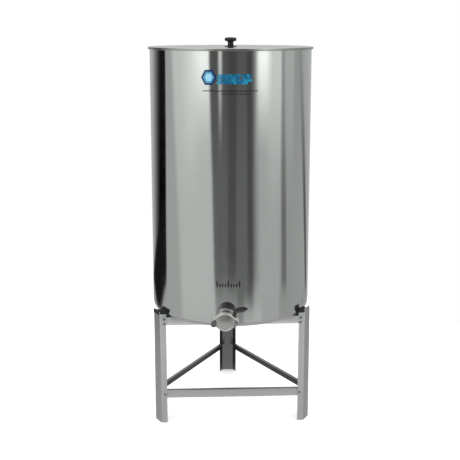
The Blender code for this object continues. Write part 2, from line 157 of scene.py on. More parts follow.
# %% Colour and node helpers
MATH, VECTORS, RANGE = "ShaderNodeMath", "ShaderNodeVectorMath", "ShaderNodeMapRange"
MIX, NOISE, COORDINATES = "ShaderNodeMix", "ShaderNodeTexNoise", "ShaderNodeTexCoord"
SPLIT, JOIN, TURN = "ShaderNodeSeparateXYZ", "ShaderNodeCombineXYZ", "ShaderNodeVectorRotate"
POSITION, MOVE = "GeometryNodeInputPosition", "GeometryNodeSetPosition"


def linear(code):
    """An sRGB hex code as linear red, green, blue and alpha."""
    values = [int(code[i:i + 2], 16) / 255 for i in (1, 3, 5)]
    return [v / 12.92 if v <= 0.04045 else ((v + 0.055) / 1.055) ** 2.4 for v in values] + [1.0]


def feed(tree, socket, value):
    """Links an input to a node or a socket, or fills it with a constant."""
    if isinstance(value, bpy.types.Node):
        value = next(output for output in value.outputs if output.enabled)
    if isinstance(value, bpy.types.NodeSocket):
        tree.links.new(value, socket)
    elif value is not None:
        socket.default_value = value


def add_node(tree, kind, *inputs, **settings):
    """Adds a node, applies its settings, then feeds its inputs."""
    node = tree.nodes.new(kind)
    for key, value in settings.items():
        setattr(node, key, value)
    for number, value in enumerate(inputs):
        for key, item in (value if isinstance(value, dict) else {number: value}).items():
            feed(tree, node.inputs[key], item)
    return node


print("mid grey #808080 is", round(linear("#808080")[0], 3), "in linear light")

# %% [markdown]
# ## The studio
# Bright sheet has almost no colour of its own: what it shows is the room. So the light is drawn
# as the room that the steel would mirror: tall soft boxes and dark screens that stand round the
# tank, each between two bearings in degrees round the horizon. Zero is the camera's side and the
# right is positive. A screen that stands near shows its foot further round than its top, so its
# edges may lean. Some screens end at a foot, below which the far floor shows. A bright ceiling
# closes the room. All this is in the world shader, where it's free of noise. Rays that light matt
# surfaces get a plain white dome, and the camera itself sees white paper.

# %% Screens and soft boxes
BACK_WALL, FAR_FLOOR, FLOOR_LEVEL, CEILING_LEVEL = (0.56, 0.62), 0.47, 0.66, 1.3
# Heights in degrees over which a level rises, slowly or fast, where the screens' feet stand, what
# lies below the near foot, and where the floor and the ceiling begin
HEIGHTS = {"slow": (-13, -1), "fast": (-8.5, 0), "far foot": (-18, -16.6), "floor": (-18.5, -22),
           "near foot": (-18.9, -18.1), "below": (-18.1, -18.9), "ceiling": (26, 50)}
# Groups of screens by their rise and foot. Each screen has a start and an end, a level low down
# and high up, the softness of both edges, and how far both edges move sideways for each degree
# below the horizon. A later screen stands in front of an earlier one.
ROOM = [
    ("slow", None, [
        (-130.5, -90, 0.00, 0.01, (34, 2), (-0.75, 0)),         # black flag
        (15.5, -100, 0.01, 0.01, (14, 2), (-11, 0)),            # its wide foot
        (-200, -361.4, 0.40, 0.40, (2, 10), (0, 12)),           # what stands behind the foot
        (-102.4, -30.6, 0.85, 1.02, (2, 5), (-0.3, 0.45)),      # left soft box
        (-66, -30.6, 0.85, 1.29, (24, 5), (0, 0.45)),           # its bright part
        (-102.4, -91, 0.64, 0.62, (2, 10), (-0.3, 0.85)),       # its side
        (60.8, -92, 0.64, 0.64, (3, 8), (-10, 0)),              # its foot
        (34, 76, 0.68, 1.15, (6, 3), (0, 0)),                   # right soft box
        (76, 128, 0.56, 0.55, (3, 6), (0, 0)),                  # pale wall on the right
        (76, 100, 0.55, 0.74, (3, 8), (0, 0)),                  # its lit part
        (113.5, 152, 0.55, 0.64, (3, 10), (2.2, 0))]),          # another, further round
    # Lamps in the soft boxes: their glare stays near the top
    ("fast", None, [
        (-50, -30.6, 0.85, 1.95, (24, 4), (0, 0.45)),
        (37, 55, 0.68, 2.15, (6, 14), (0, 0))]),
    ("slow", "far foot", [
        (-30.6, 33.6, 0.21, 0.14, (4, 16), (0.45, 0.23)),       # dark room round the camera
        (-4, 8, 0.13, 0.10, (6, 6), (0, 0)),
        (74.5, 80, 0.26, 0.54, (2, 3), (0.3, 0.55)),            # edge of the right soft box
        (106, 116, 0.13, 0.48, (6, 6), (2.2, 2.2))]),           # edge of another screen
    ("fast", "far foot", [
        (-16.8, -12.1, 0.20, 1.25, (2, 2), (0, 0))]),           # slit of light between screens
    ("slow", "near foot", [
        (9, 28, 0.22, 0.165, (4, 4), (0, 0)),                   # nearer dark screens
        (21.6, 29.2, 0.12, 0.10, (4, 6), (0.2, 0.2))]),
    ("slow", "below", [
        (19, 46, 0.86, 0.86, (5, 6), (0, 0))]),                 # lit patch of floor
]

# %% Each screen covers what is behind it
world = bpy.data.worlds.new("studio")
scene.world = world
world.use_nodes = True
room = world.node_tree
room.nodes.clear()
way = add_node(room, SPLIT, add_node(room, COORDINATES).outputs["Generated"]).outputs
back = add_node(room, MATH, way["Y"], -1.0, operation="MULTIPLY")
azimuth = add_node(room, MATH, way["X"], back, operation="ARCTAN2")
azimuth = add_node(room, MATH, azimuth, math.degrees(1), -math.degrees(CAMERA_TURN),
                   operation="MULTIPLY_ADD")
height = add_node(room, MATH, way["Z"], operation="ARCSINE")
height = add_node(room, MATH, height, operation="DEGREES")
dip = add_node(room, MATH, height, 0.0, operation="MINIMUM")
rises = {name: add_node(room, RANGE, height, *ends, interpolation_type="SMOOTHSTEP")
         for name, ends in HEIGHTS.items()}

light = add_node(room, MIX, rises["slow"], None, *BACK_WALL)
light = add_node(room, MIX, rises["far foot"], None, FAR_FLOOR, light)
for rise, foot, screens in ROOM:
    for start, end, low, high, soft, lean in screens:
        level = add_node(room, MIX, rises[rise], None, low, high)
        mask = rises.get(foot, 1.0)
        for bearing, blur, slope, sense in zip((start, end), soft, lean, (1, -1)):
            upright = add_node(room, MATH, dip, slope, azimuth, operation="MULTIPLY_ADD")
            edge = add_node(room, RANGE, upright, bearing - sense * blur / 2,
                            bearing + sense * blur / 2, interpolation_type="SMOOTHSTEP")
            mask = add_node(room, MATH, mask, edge, operation="MULTIPLY")
        light = add_node(room, MIX, mask, None, light, level)
for name, level in (("floor", FLOOR_LEVEL), ("ceiling", CEILING_LEVEL)):
    light = add_node(room, MIX, rises[name], None, light, level)
print("the room has", sum(len(group[2]) for group in ROOM), "screens and", len(room.nodes), "nodes")

# %% One light for each kind of ray
DOME_LEVEL = 1.25
rays = add_node(room, "ShaderNodeLightPath").outputs
level = add_node(room, MIX, rays["Is Glossy Ray"], None, DOME_LEVEL, light)
level = add_node(room, MIX, rays["Is Camera Ray"], None, level, 1.0)
# What the steel mirrors is a trace greener than white
hue = add_node(room, MIX, rays["Is Glossy Ray"], {6: linear("#ffffff"), 7: linear("#fcfffc")},
               data_type="RGBA")
sky = add_node(room, "ShaderNodeBackground", hue, level)
add_node(room, "ShaderNodeOutputWorld", sky)
scene.view_settings.view_transform = "Standard"
print("the dome's level is", DOME_LEVEL)

# %% [markdown]
# ## The floor
# A disc of white paper. Paper is matt, so it's a plain diffuse shader. The picture is exposed so
# that paper burns out to white, which a little glow does. Steel mirrors a grey, half lit floor
# and not glowing paper, so reflected rays see it darker.

# %% Working meshes, objects and materials
def as_mesh(bm, outwards=True):
    """Turns a working mesh into a mesh, with its faces pointing outwards."""
    if outwards:
        bmesh.ops.recalc_face_normals(bm, faces=bm.faces)
    mesh = bpy.data.meshes.new("working")
    bm.to_mesh(mesh)
    bm.free()
    return mesh


def work(name, mesh):
    """An object to hang modifiers on. It isn't a piece yet."""
    obj = bpy.data.objects.new(name, mesh)
    scene.collection.objects.link(obj)
    return obj


def new_material(name):
    """A material, its node tree and the inputs of its shader."""
    material = bpy.data.materials.new(name)
    material.use_nodes = True
    return material, material.node_tree, material.node_tree.nodes["Principled BSDF"].inputs


print("helpers ready")

# %% Floor
FLOOR_R, UNDER_FEET = 1500, 0.05        # the paper lies just below the feet
PAPER_GLOW = 0.4
bm = bmesh.new()
bmesh.ops.create_circle(bm, cap_ends=True, segments=96, radius=FLOOR_R * MM)
floor = work("floor", as_mesh(bm, outwards=False))
floor.matrix_world = shift(0, AXIS_Y, -UNDER_FEET)
paper, tree, _ = new_material("white_paper")
tree.nodes.clear()
rays = add_node(tree, "ShaderNodeLightPath").outputs
lit = add_node(tree, "ShaderNodeBsdfDiffuse", linear("#f6f6f6"))
glow = add_node(tree, MATH, rays["Is Camera Ray"], PAPER_GLOW, operation="MULTIPLY")
glow = add_node(tree, "ShaderNodeEmission", linear("#ffffff"), glow)
lit = add_node(tree, "ShaderNodeAddShader", lit, glow)
seen = add_node(tree, "ShaderNodeEmission", linear("#ffffff"), FLOOR_LEVEL)
both = add_node(tree, "ShaderNodeMixShader", rays["Is Glossy Ray"], lit, seen)
add_node(tree, "ShaderNodeOutputMaterial", both)
floor.data.materials.append(paper)
floor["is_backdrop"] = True
print("floor radius in mm", FLOOR_R)

# %% [markdown]
# ## Materials
# Every metal here is the same stainless steel, and every black piece is a moulding. What tells
# the pieces apart is how each surface was made. One function makes the part that all finishes
# share: colour and roughness that vary in slow patches, as hands and cloths leave them, and a fine
# grain that has a real width along X, Y and Z. A noise's scale is one over that width in metres.

# %% A surface with patches and a grain
SMUDGE_SHADE = 0.94         # how much darker a smudge is


def surface(name, metallic, colours, roughness, spread, patch, patch_detail, patch_ends, grain, depth):
    """A finish whose patches and grain have widths, and whose grain has a depth, all in mm."""
    material, tree, shader = new_material(name)
    place = add_node(tree, COORDINATES).outputs["Object"]
    patches = add_node(tree, NOISE, place, None, 1 / (patch * MM), patch_detail)
    rough = add_node(tree, RANGE, patches, *patch_ends, roughness - spread, roughness + spread)
    tone = add_node(tree, MIX, patches, {6: colours[0], 7: colours[1]}, data_type="RGBA")
    stretch = add_node(tree, "ShaderNodeMapping", place, {"Scale": [1 / (w * MM) for w in grain]})
    fine = add_node(tree, NOISE, stretch, None, 1.0, 2.0)
    bump = add_node(tree, "ShaderNodeBump", {"Height": fine, "Distance": depth * MM})
    for socket, value in (("Metallic", metallic), ("Roughness", rough), ("Base Color", tone),
                          ("Normal", bump)):
        feed(tree, shader[socket], value)
    return material


def steel(name, colour, roughness, spread, grain, depth, smudge=60):
    """Stainless with slow smudges."""
    shade = [c * SMUDGE_SHADE for c in linear(colour)[:3]] + [1.0]
    return surface(name, 1.0, (shade, linear(colour)), roughness, spread, smudge, 4.0, (0.3, 0.7),
                   grain, depth)


def black_moulding(name, colour, roughness, grit, depth, bloom):
    """A black moulding with a grit from its mould and a paler bloom in patches."""
    return surface(name, 0.0, (linear(colour), linear(bloom)), roughness, 0.06, 12, 3.0, (0, 1),
                   [grit] * 3, depth)


# Bright annealed 304 sheet: cold rolled between polished rolls, almost a mirror, with a faint
# grain along the rolling direction, which runs round the drum
bright_sheet = steel("bright_annealed_stainless", "#bdbebd", 0.085, 0.012, (40, 40, 1.5), 0.002)
# Rings and bolts: turned or rolled, then tumbled bright
turned_steel = steel("turned_bright_stainless", "#b4b5b3", 0.20, 0.04, [0.8] * 3, 0.004, 20)
# The stand's screws and the gate's wing nut: plain steel that has dulled
dull_steel = steel("dulled_turned_stainless", "#7d7e7c", 0.38, 0.05, [0.8] * 3, 0.004, 20)
# A bead that was welded under gas and brushed: duller and rougher than the sheet
weld_steel = steel("brushed_tig_weld", "#8e8f8d", 0.38, 0.06, [0.5] * 3, 0.01, 8)
# Glass-filled polyamide: semi-gloss, with the orange peel of the mould
black_plastic = black_moulding("moulded_black_polyamide", "#0c0c0d", 0.30, 1.2, 0.02, "#17181a")
# EPDM rubber, pressed in a mould: matt, with a grey bloom
black_rubber = black_moulding("moulded_black_epdm", "#0b0b0b", 0.62, 0.8, 0.05, "#1d1d1d")
# Phenolic, left matt by a blasted mould
matt_plastic = black_moulding("moulded_matt_black_phenolic", "#080808", 0.55, 1.2, 0.02, "#0e0e0f")
# Phenolic, rubbed grey by hands
worn_plastic = black_moulding("worn_black_phenolic", "#2c2d2d", 0.34, 2.0, 0.05, "#5c5d5d")
print("even finishes:", [m.name for m in bpy.data.materials])

# %% [markdown]
# Some steels differ from place to place on one piece. Another colour is mixed in where a value,
# such as a height or how far a face looks up, passes from one number to another.

# %% Lid, gate and blade
def where(material):
    """Sockets for a point's place, for its Y and Z in metres, for its normal and how far up that is."""
    tree = material.node_tree
    coordinates = add_node(tree, COORDINATES).outputs
    spot = add_node(tree, SPLIT, coordinates["Object"]).outputs
    up = add_node(tree, SPLIT, coordinates["Normal"]).outputs["Z"]
    return coordinates["Object"], spot["Y"], spot["Z"], coordinates["Normal"], up


def tint(material, colour, value, start, end):
    """Another colour where the value passes from start to end. Returns its share."""
    tree = material.node_tree
    share = add_node(tree, RANGE, value, start, end)
    tone = tree.nodes["Principled BSDF"].inputs["Base Color"]
    mixed = add_node(tree, MIX, share, {6: tone.links[0].from_socket, 7: linear(colour)},
                     data_type="RGBA")
    feed(tree, tone, mixed)
    return share


# Lid: the bright sheet, spun at its edge, a little duller from handling. Its turned-down rim keeps the
# fine rings of the spinning roller, so it blurs more, and it's painted darker: painted shade for the
# dark rim under the lid's edge
RIM_FADE, RIM_ROUGHNESS = (0.4, 1.8), 0.30      # below the lid's top
lid_sheet = steel("spun_bright_stainless", "#c2c3c0", 0.13, 0.025, (12, 12, 12), 0.003)
_, _, z, _, _ = where(lid_sheet)
# Painted shade: below its top edge the rim is painted darker, and the same share makes it rougher
rim_shade_and_roughness = tint(lid_sheet, "#9b9c99", z, *[(lid_high.z - drop) * MM for drop in RIM_FADE])
tree = lid_sheet.node_tree
rough = tree.nodes["Principled BSDF"].inputs["Roughness"]
feed(tree, rough, add_node(tree, MIX, rim_shade_and_roughness, None, rough.links[0].from_socket, RIM_ROUGHNESS))
# Gate: cast in a shell mould and bead blasted, so it's matt with a fine pitting. Its upward faces get a
# painted highlight, and its neck, behind the flange, gets painted shade
NECK_SHADE_FADE = (115.5, 113)    # from the wall along the gate
cast_steel = steel("blasted_cast_stainless", "#c2c2c0", 0.34, 0.05, (0.6, 0.6, 0.6), 0.02, 15)
_, y, _, _, up = where(cast_steel)
# Painted highlight: faces that look up are painted lighter
tint(cast_steel, "#e6e7e4", up, 0.35, 0.8)
# Painted shade: the neck behind the flange is painted darker
tint(cast_steel, "#6a6b69", y, *[(AXIS_Y - TANK_R - length) * MM for length in NECK_SHADE_FADE])
# Blade: cut from rolled plate. Its lever is painted dark, a painted reflection of the dark room in
# front of it
LEVER_SHADE_FADE = (33, 39)       # from the gate's axis
blade_steel = steel("laser_cut_rolled_stainless", "#c2c2c0", 0.30, 0.04, [0.8] * 3, 0.004, 20)
place, _, _, _, _ = where(blade_steel)
away = add_node(blade_steel.node_tree, VECTORS, place, (1, 0, 1), operation="MULTIPLY")
away = add_node(blade_steel.node_tree, VECTORS, away, (0, 0, TAP_Z * MM), operation="DISTANCE")
# Painted reflection: the lever, out past the disc, is painted dark
tint(blade_steel, "#5b5c5b", away, *[radius * MM for radius in LEVER_SHADE_FADE])
print("the lever turns dark over", LEVER_SHADE_FADE, "mm from the gate's axis")

# %% Satin sheet for the stand
# Painted light: the satin is painted brighter between these heights
PAINTED_LIGHT_FROM, PAINTED_LIGHT_TO = 50, 420     # heights between which the satin grows brighter


def satin_sheet(name, inner_shade_colour):
    """Satin sheet, painted lighter higher up and painted darker where it faces the tank's axis, and
    sockets for how far its surface faces away from that axis and up.
    """
    material = steel(name, "#c4c6c4", 0.42, 0.04, (1.2, 1.2, 30), 0.004)
    tree = material.node_tree
    place, _, height, normal, up = where(material)
    out = add_node(tree, VECTORS, place, (1, 1, 0), (0, -AXIS_Y * MM, 0), operation="MULTIPLY_ADD")
    out = add_node(tree, VECTORS, out, operation="NORMALIZE")
    out = add_node(tree, VECTORS, out, normal, operation="DOT_PRODUCT")
    # Painted light: lighter higher up
    tint(material, "#eceeec", height, PAINTED_LIGHT_FROM * MM, PAINTED_LIGHT_TO * MM)
    # Painted shade: darker on faces that look towards the tank's axis
    tint(material, inner_shade_colour, out, -0.15, -0.4)
    return material, out, up


# Folded in a press, with its grain lengthwise. The side that faces the tank's axis gets painted shade,
# and the satin is painted lighter higher up. A rail's flange is upwards, and its top is painted darker
# as shade from the tank above it
rail_sheet, _, up = satin_sheet("satin_folded_stainless_rail", "#4a4c4b")
# Painted shade: the top of a rail's flange is painted darker
tint(rail_sheet, "#888a88", up, 0.5, 0.9)
# A leg's web gets less painted shade inside than its flanges, and painted light on its outer faces
leg_sheet, out, _ = satin_sheet("satin_folded_stainless_leg", "#5f6160")
# Painted shade, less of it: the web's inner face is painted less dark than the flanges
tint(leg_sheet, "#7c7e7c", out, -0.65, -0.85)
# Painted light: faces that look away from the tank's axis are painted lighter
tint(leg_sheet, "#a7a9a7", out, 0.75, 0.95)
print("steels made:", [m.name for m in bpy.data.materials if "stainless" in m.name])

# %% [markdown]
# The print on the wall is screen ink, a few hundredths of a millimetre thick. The small cells read
# a number that the geometry below stores on each of them, so that neighbours differ in blue.

# %% Inks
def ink(name, roughness, *codes):
    """Screen ink. Two codes or more are shared out by the number between 0 and 1 on a cell."""
    material, tree, shader = new_material(name)
    shader["Roughness"].default_value = roughness
    shader["Base Color"].default_value = linear(codes[0])
    if len(codes) > 1:
        tone = add_node(tree, "ShaderNodeAttribute", attribute_name="tone")
        ramp = add_node(tree, "ShaderNodeValToRGB", tone.outputs["Fac"])
        ramp.color_ramp.interpolation = "CONSTANT"
        while len(ramp.color_ramp.elements) < len(codes):
            ramp.color_ramp.elements.new(0.5)
        for i, (element, code) in enumerate(zip(ramp.color_ramp.elements, codes)):
            element.position = i / len(codes)
            element.color = linear(code)
        feed(tree, shader["Base Color"], ramp)
    return material


blue_ink = ink("blue_screen_ink", 0.14, "#04527a", "#086a8e", "#1282a2", "#065c80")
navy_ink = ink("navy_screen_ink", 0.16, "#0a2458")
mid_ink = ink("mid_blue_screen_ink", 0.16, "#3c87a8")
pale_ink = ink("pale_blue_screen_ink", 0.16, "#8fc4dc")
dark_ink = ink("dark_screen_ink", 0.40, "#0d1019")
print("inks made:", [m.name for m in bpy.data.materials if "ink" in m.name])

# %% [markdown]
# ## Helpers for meshes
# A turned part is a closed outline of radius and height that is spun about Z. Sharp corners never
# look real, so the outline's corners are rounded first. A flat part is an outline with holes that
# gets a thickness. Every finished piece is shaded smooth except where its faces meet at a clear
# angle, and it's put in place in its mesh, so that its object stays at the origin.

# %% Outlines
NEARLY_STRAIGHT = math.radians(175)
MOST_OF_EDGE = 0.48         # share of an edge that one of its rounded corners may take


def rounded(points, radius=0, steps=4):
    """Rounds the corners of an outline. A third number on a point is its own radius."""
    result = []
    for i, point in enumerate(points):
        corner = Vector(point[:2])
        want = point[2] if len(point) > 2 else radius
        before = Vector(points[i - 1][:2]) - corner
        after = Vector(points[(i + 1) % len(points)][:2]) - corner
        angle = before.angle(after)
        if want <= 0 or angle > NEARLY_STRAIGHT:
            result.append(tuple(corner))
            continue
        cut = min(want / math.tan(angle / 2), MOST_OF_EDGE * before.length,
                  MOST_OF_EDGE * after.length)
        start = corner + before.normalized() * cut
        end = corner + after.normalized() * cut
        bisector = (before.normalized() + after.normalized()).normalized()
        centre = corner + bisector * (cut / math.cos(angle / 2))
        arm, sweep = start - centre, (start - centre).angle_signed(end - centre)
        for k in range(steps + 1):
            turn = -sweep * k / steps
            result.append((centre.x + arm.x * math.cos(turn) - arm.y * math.sin(turn),
                           centre.y + arm.x * math.sin(turn) + arm.y * math.cos(turn)))
    return result


def arc(centre, radius, start, end, steps):
    """Points on an arc, both ends included, angles in degrees."""
    angles = [math.radians(start + (end - start) * i / steps) for i in range(steps + 1)]
    return [(centre[0] + radius * math.cos(a), centre[1] + radius * math.sin(a)) for a in angles]


def circle(radius, steps, x=0):
    """Points round a circle."""
    return arc((x, 0), radius, 0, 360, steps)[:-1]


square = rounded([(0, 0), (10, 0), (10, 10), (0, 10)], 2)
print("a rounded square has", len(square), "points, a hexagon", len(circle(10, 6)))

# %% Turned and flat parts
def turned(profile, steps):
    """Spins a closed outline of (radius, height) about Z."""
    bm = bmesh.new()
    rings = []
    for r, z in profile:
        ring = circle(r, steps) if r > 0.001 else [(0, 0)]
        rings.append([bm.verts.new((x * MM, y * MM, z * MM)) for x, y in ring])
    for low, high in zip(rings, rings[1:] + rings[:1]):
        if len(low) == len(high) == 1:
            continue
        for i in range(steps):
            j = (i + 1) % steps
            corners = [low[i % len(low)], low[j % len(low)], high[j % len(high)], high[i % len(high)]]
            bm.faces.new(list(dict.fromkeys(corners)))
    return as_mesh(bm)


def plate(outlines, low, high):
    """Fills the first outline, leaves the rest as holes, and gives it a thickness along Z."""
    bm = bmesh.new()
    edges = []
    for outline in outlines:
        verts = [bm.verts.new((x * MM, y * MM, low * MM)) for x, y in outline]
        edges += [bm.edges.new(pair) for pair in zip(verts, verts[1:] + verts[:1])]
    bmesh.ops.triangle_fill(bm, use_beauty=True, use_dissolve=False, edges=edges)
    grown = bmesh.ops.extrude_face_region(bm, geom=bm.faces[:])
    moved = [v for v in grown["geom"] if isinstance(v, bmesh.types.BMVert)]
    bmesh.ops.translate(bm, verts=moved, vec=(0, 0, (high - low) * MM))
    return as_mesh(bm)


washer = plate([circle(10, 12), circle(5, 8)], 0, 1)
print("a test washer has", len(washer.polygons), "faces")
bpy.data.meshes.remove(washer)

# %% Modifiers that finish a shape
def settle(obj):
    """Evaluates the modifiers into one plain mesh and takes them off."""
    depsgraph = bpy.context.evaluated_depsgraph_get()
    mesh = bpy.data.meshes.new_from_object(obj.evaluated_get(depsgraph), depsgraph=depsgraph)
    obj.modifiers.clear()
    obj.data = mesh


def soften(obj, width, angle=40, segments=2):
    """Breaks the sharp edges with a narrow bevel."""
    bevel = obj.modifiers.new("soften", "BEVEL")
    bevel.width, bevel.segments = width * MM, segments
    bevel.limit_method, bevel.angle_limit = "ANGLE", math.radians(angle)


def thicken(obj, thickness, even=False):
    """Gives a sheet its thickness on the side that its faces turn away from."""
    solid = obj.modifiers.new("thickness", "SOLIDIFY")
    solid.thickness, solid.offset, solid.use_even_offset = thickness * MM, -1, even


def combine(obj, other, operation):
    """Joins another object to this one, or cuts it out of it, and uses it up."""
    boolean = obj.modifiers.new("combine", "BOOLEAN")
    boolean.operation, boolean.object, boolean.solver = operation, other, "EXACT"
    settle(obj)
    bpy.data.objects.remove(other)


print("modifiers ready")

# %% Finished pieces
def finish_piece(obj, body, slot, material, stands_for=None, place=None, crease=35):
    """Settles the mesh, puts it in place, shades it and hands it to its CAD body."""
    settle(obj)
    if place is not None:
        obj.data.transform(place)
    obj.data.shade_smooth()
    obj.data.set_sharp_from_angle(angle=math.radians(crease))
    obj.data.materials.clear()
    obj.data.materials.append(material)
    obj.data.name = obj.name
    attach(obj, body)
    if stands_for:
        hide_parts(stands_for)
    print(f"{obj.name}: {sum(len(p.vertices) - 2 for p in obj.data.polygons)} triangles")


def turn_piece(name, profile, steps, *finish):
    """A turned piece, from its outline to its body."""
    finish_piece(work(name, turned(profile, steps)), *finish)


print("pieces can be made")

# %% [markdown]
# ## Helpers for Geometry Nodes
# A tree gets named inputs, and a modifier that uses it is given values by those names. Blender
# keeps them under an identifier, so the small function below looks that up, and it does so before
# the object is first evaluated.

# %% Geometry Nodes helpers
def new_tree(name, floats=(), whole=(), objects=()):
    """A geometry tree with named inputs. Returns the tree and the inputs' sockets by name."""
    tree = bpy.data.node_groups.new(name, "GeometryNodeTree")
    for kind, labels in (("Geometry", ["Geometry"]), ("Float", floats), ("Int", whole),
                         ("Object", objects), ("Material", ["Material"])):
        for label in labels:
            tree.interface.new_socket(label, in_out="INPUT", socket_type="NodeSocket" + kind)
    tree.interface.new_socket("Geometry", in_out="OUTPUT", socket_type="NodeSocketGeometry")
    return tree, add_node(tree, "NodeGroupInput").outputs


def end_tree(tree, geometry, material):
    """Every tree ends in real geometry with its material set."""
    real = add_node(tree, "GeometryNodeRealizeInstances", geometry)
    painted = add_node(tree, "GeometryNodeSetMaterial", {"Geometry": real, "Material": material})
    add_node(tree, "NodeGroupOutput", painted)
    print("the tree", tree.name, "has", len(tree.nodes), "nodes")


def grow(obj, tree, values):
    """Puts the tree on the object as a modifier and fills its inputs by name."""
    modifier = obj.modifiers.new(tree.name, "NODES")
    modifier.node_group = tree
    for item in tree.interface.items_tree:
        if item.in_out == "INPUT" and item.name in values:
            modifier[item.identifier] = values[item.name]


print("geometry helpers ready")

# %% [markdown]
# ## The wall: a flat sheet, rolled
# The real wall starts as one flat sheet, 2 m by 1 m. It's rolled round until its short edges
# meet, the edges are welded, and the top is curled outwards over a tool. The tree does the same:
# each point of a flat grid is turned round the axis by the rule angle = distance / radius, and the
# last part of the height follows a tight curl. Rolled sheet is never quite even, so a slow noise
# moves it in and out by a tenth of a millimetre: too little to see as a shape, but it makes the
# mirrored screens waver as they do on a real drum. Its seed is fixed.

# %% The tree that rolls a sheet
SHEET = 1.5
STRAIGHT = 0.86             # share of the grid's rows that stay straight
CURL_TURN = math.radians(265)

roll, given = new_tree("roll_a_sheet", ["Radius", "Foot", "Height", "Curl radius", "Unevenness",
                                        "Seed"], ["Columns", "Rows"])
grid = add_node(roll, "GeometryNodeMeshGrid", 1.0, 1.0, given["Columns"], given["Rows"])
spot = add_node(roll, SPLIT, add_node(roll, POSITION)).outputs
# The sheet's middle goes to the front, which is a quarter turn back from X
angle = add_node(roll, MATH, spot["X"], math.tau, -math.pi / 2, operation="MULTIPLY_ADD")
along = add_node(roll, MATH, spot["Y"], 0.5, operation="ADD")
straight = add_node(roll, RANGE, along, 0.0, STRAIGHT, 0.0, given["Height"])
curl = add_node(roll, RANGE, along, STRAIGHT, 1.0, 0.0, CURL_TURN)
curl_out = add_node(roll, MATH, curl, operation="COSINE")
curl_out = add_node(roll, MATH, 1.0, curl_out, operation="SUBTRACT")
curl_up = add_node(roll, MATH, curl, operation="SINE")
z = add_node(roll, MATH, curl_up, given["Curl radius"], straight, operation="MULTIPLY_ADD")
z = add_node(roll, MATH, z, given["Foot"], operation="ADD")
r = add_node(roll, MATH, curl_out, given["Curl radius"], given["Radius"], operation="MULTIPLY_ADD")
print("the top curls through", round(math.degrees(CURL_TURN)), "degrees")

# %% The tree goes on: unevenness, then the position of each point
WAVE_ACROSS, WAVE_UP = 110, 420         # from one swelling to the next
wave = add_node(roll, MATH, z, WAVE_UP * MM, operation="DIVIDE")
wave = add_node(roll, JOIN, TANK_R / WAVE_ACROSS, 0.0, wave)
wave = add_node(roll, TURN, wave, {"Angle": angle}, rotation_type="Z_AXIS")
swell = add_node(roll, NOISE, wave, given["Seed"], 1.0, 1.0, noise_dimensions="4D")
swell = add_node(roll, MATH, swell, 0.5, operation="SUBTRACT")
r = add_node(roll, MATH, swell, given["Unevenness"], r, operation="MULTIPLY_ADD")
place = add_node(roll, JOIN, r, 0.0, z)
place = add_node(roll, TURN, place, {"Angle": angle}, rotation_type="Z_AXIS")
rolled = add_node(roll, MOVE, grid, None, place)
rolled = add_node(roll, "GeometryNodeMergeByDistance", {"Geometry": rolled, "Distance": 0.01 * MM})
end_tree(roll, rolled, given["Material"])

# %% Roll the wall, give it its thickness and cut the hole for the gate's socket
CURL_R = 0.75               # inner radius of the curl
SOCKET_R = 27.5
wall_low, wall_high = box("tank_wall")

wall = work("tank_wall_sheet", bpy.data.meshes.new("tank_wall_sheet"))
grow(wall, roll, {"Radius": TANK_R * MM, "Foot": wall_low.z * MM, "Columns": 289, "Rows": 64,
                  "Height": (wall_high.z - CURL_R - SHEET - wall_low.z) * MM,
                  "Curl radius": CURL_R * MM, "Unevenness": 0.5 * MM, "Seed": 7.0,
                  "Material": bright_sheet})
thicken(wall, SHEET)
settle(wall)
print("wall box", [round(v, 4) for v in wall.dimensions])

hole_r, end = SOCKET_R + GAP, 40        # the cutter's radius, and its ends from the wall
hole = work("socket_hole", turned([(0, -end), (hole_r, -end), (hole_r, end), (0, end)], 64))
hole.data.transform(shift(0, -TANK_R, TAP_Z) @ to_front)
combine(wall, hole, "DIFFERENCE")
finish_piece(wall, "root", "tank_steel", bright_sheet, "tank_wall", tank_frame)

# %% [markdown]
# ## The bottom: a pressed dish
# The bottom is pressed from sheet, with a round knuckle and a short flange that stands inside
# the wall. A spun outline is the quickest way to draw it.

# %% Bottom dish
KNUCKLE_R = 16
dish_low, dish_high = box("tank_bottom")
dish_r = TANK_R - SHEET - GAP
knuckle = (dish_r - KNUCKLE_R, wall_low.z)
profile = [(dish_r, dish_high.z)] + arc(knuckle, KNUCKLE_R, 0, -90, 14)
profile += [(0, dish_low.z), (0, dish_low.z + SHEET)]
profile += arc(knuckle, KNUCKLE_R - SHEET, -90, 0, 14) + [(dish_r - SHEET, dish_high.z)]
turn_piece("tank_bottom_dish", profile, 240, "root", "tank_steel", bright_sheet, "tank_bottom",
           tank_frame)

# %% [markdown]
# ## Weld beads
# The wall's two edges meet at the back in one upright seam, the dish is welded in at the wall's
# foot, and the gate's socket is welded into its hole. A bead laid by hand is a row of ripples, so
# the tree sweeps a small circle along a path and lets its size rise and fall once per ripple. A
# sheet's seam is flattened by planishing, and a rule pulls the bead flat towards the sheet's middle.

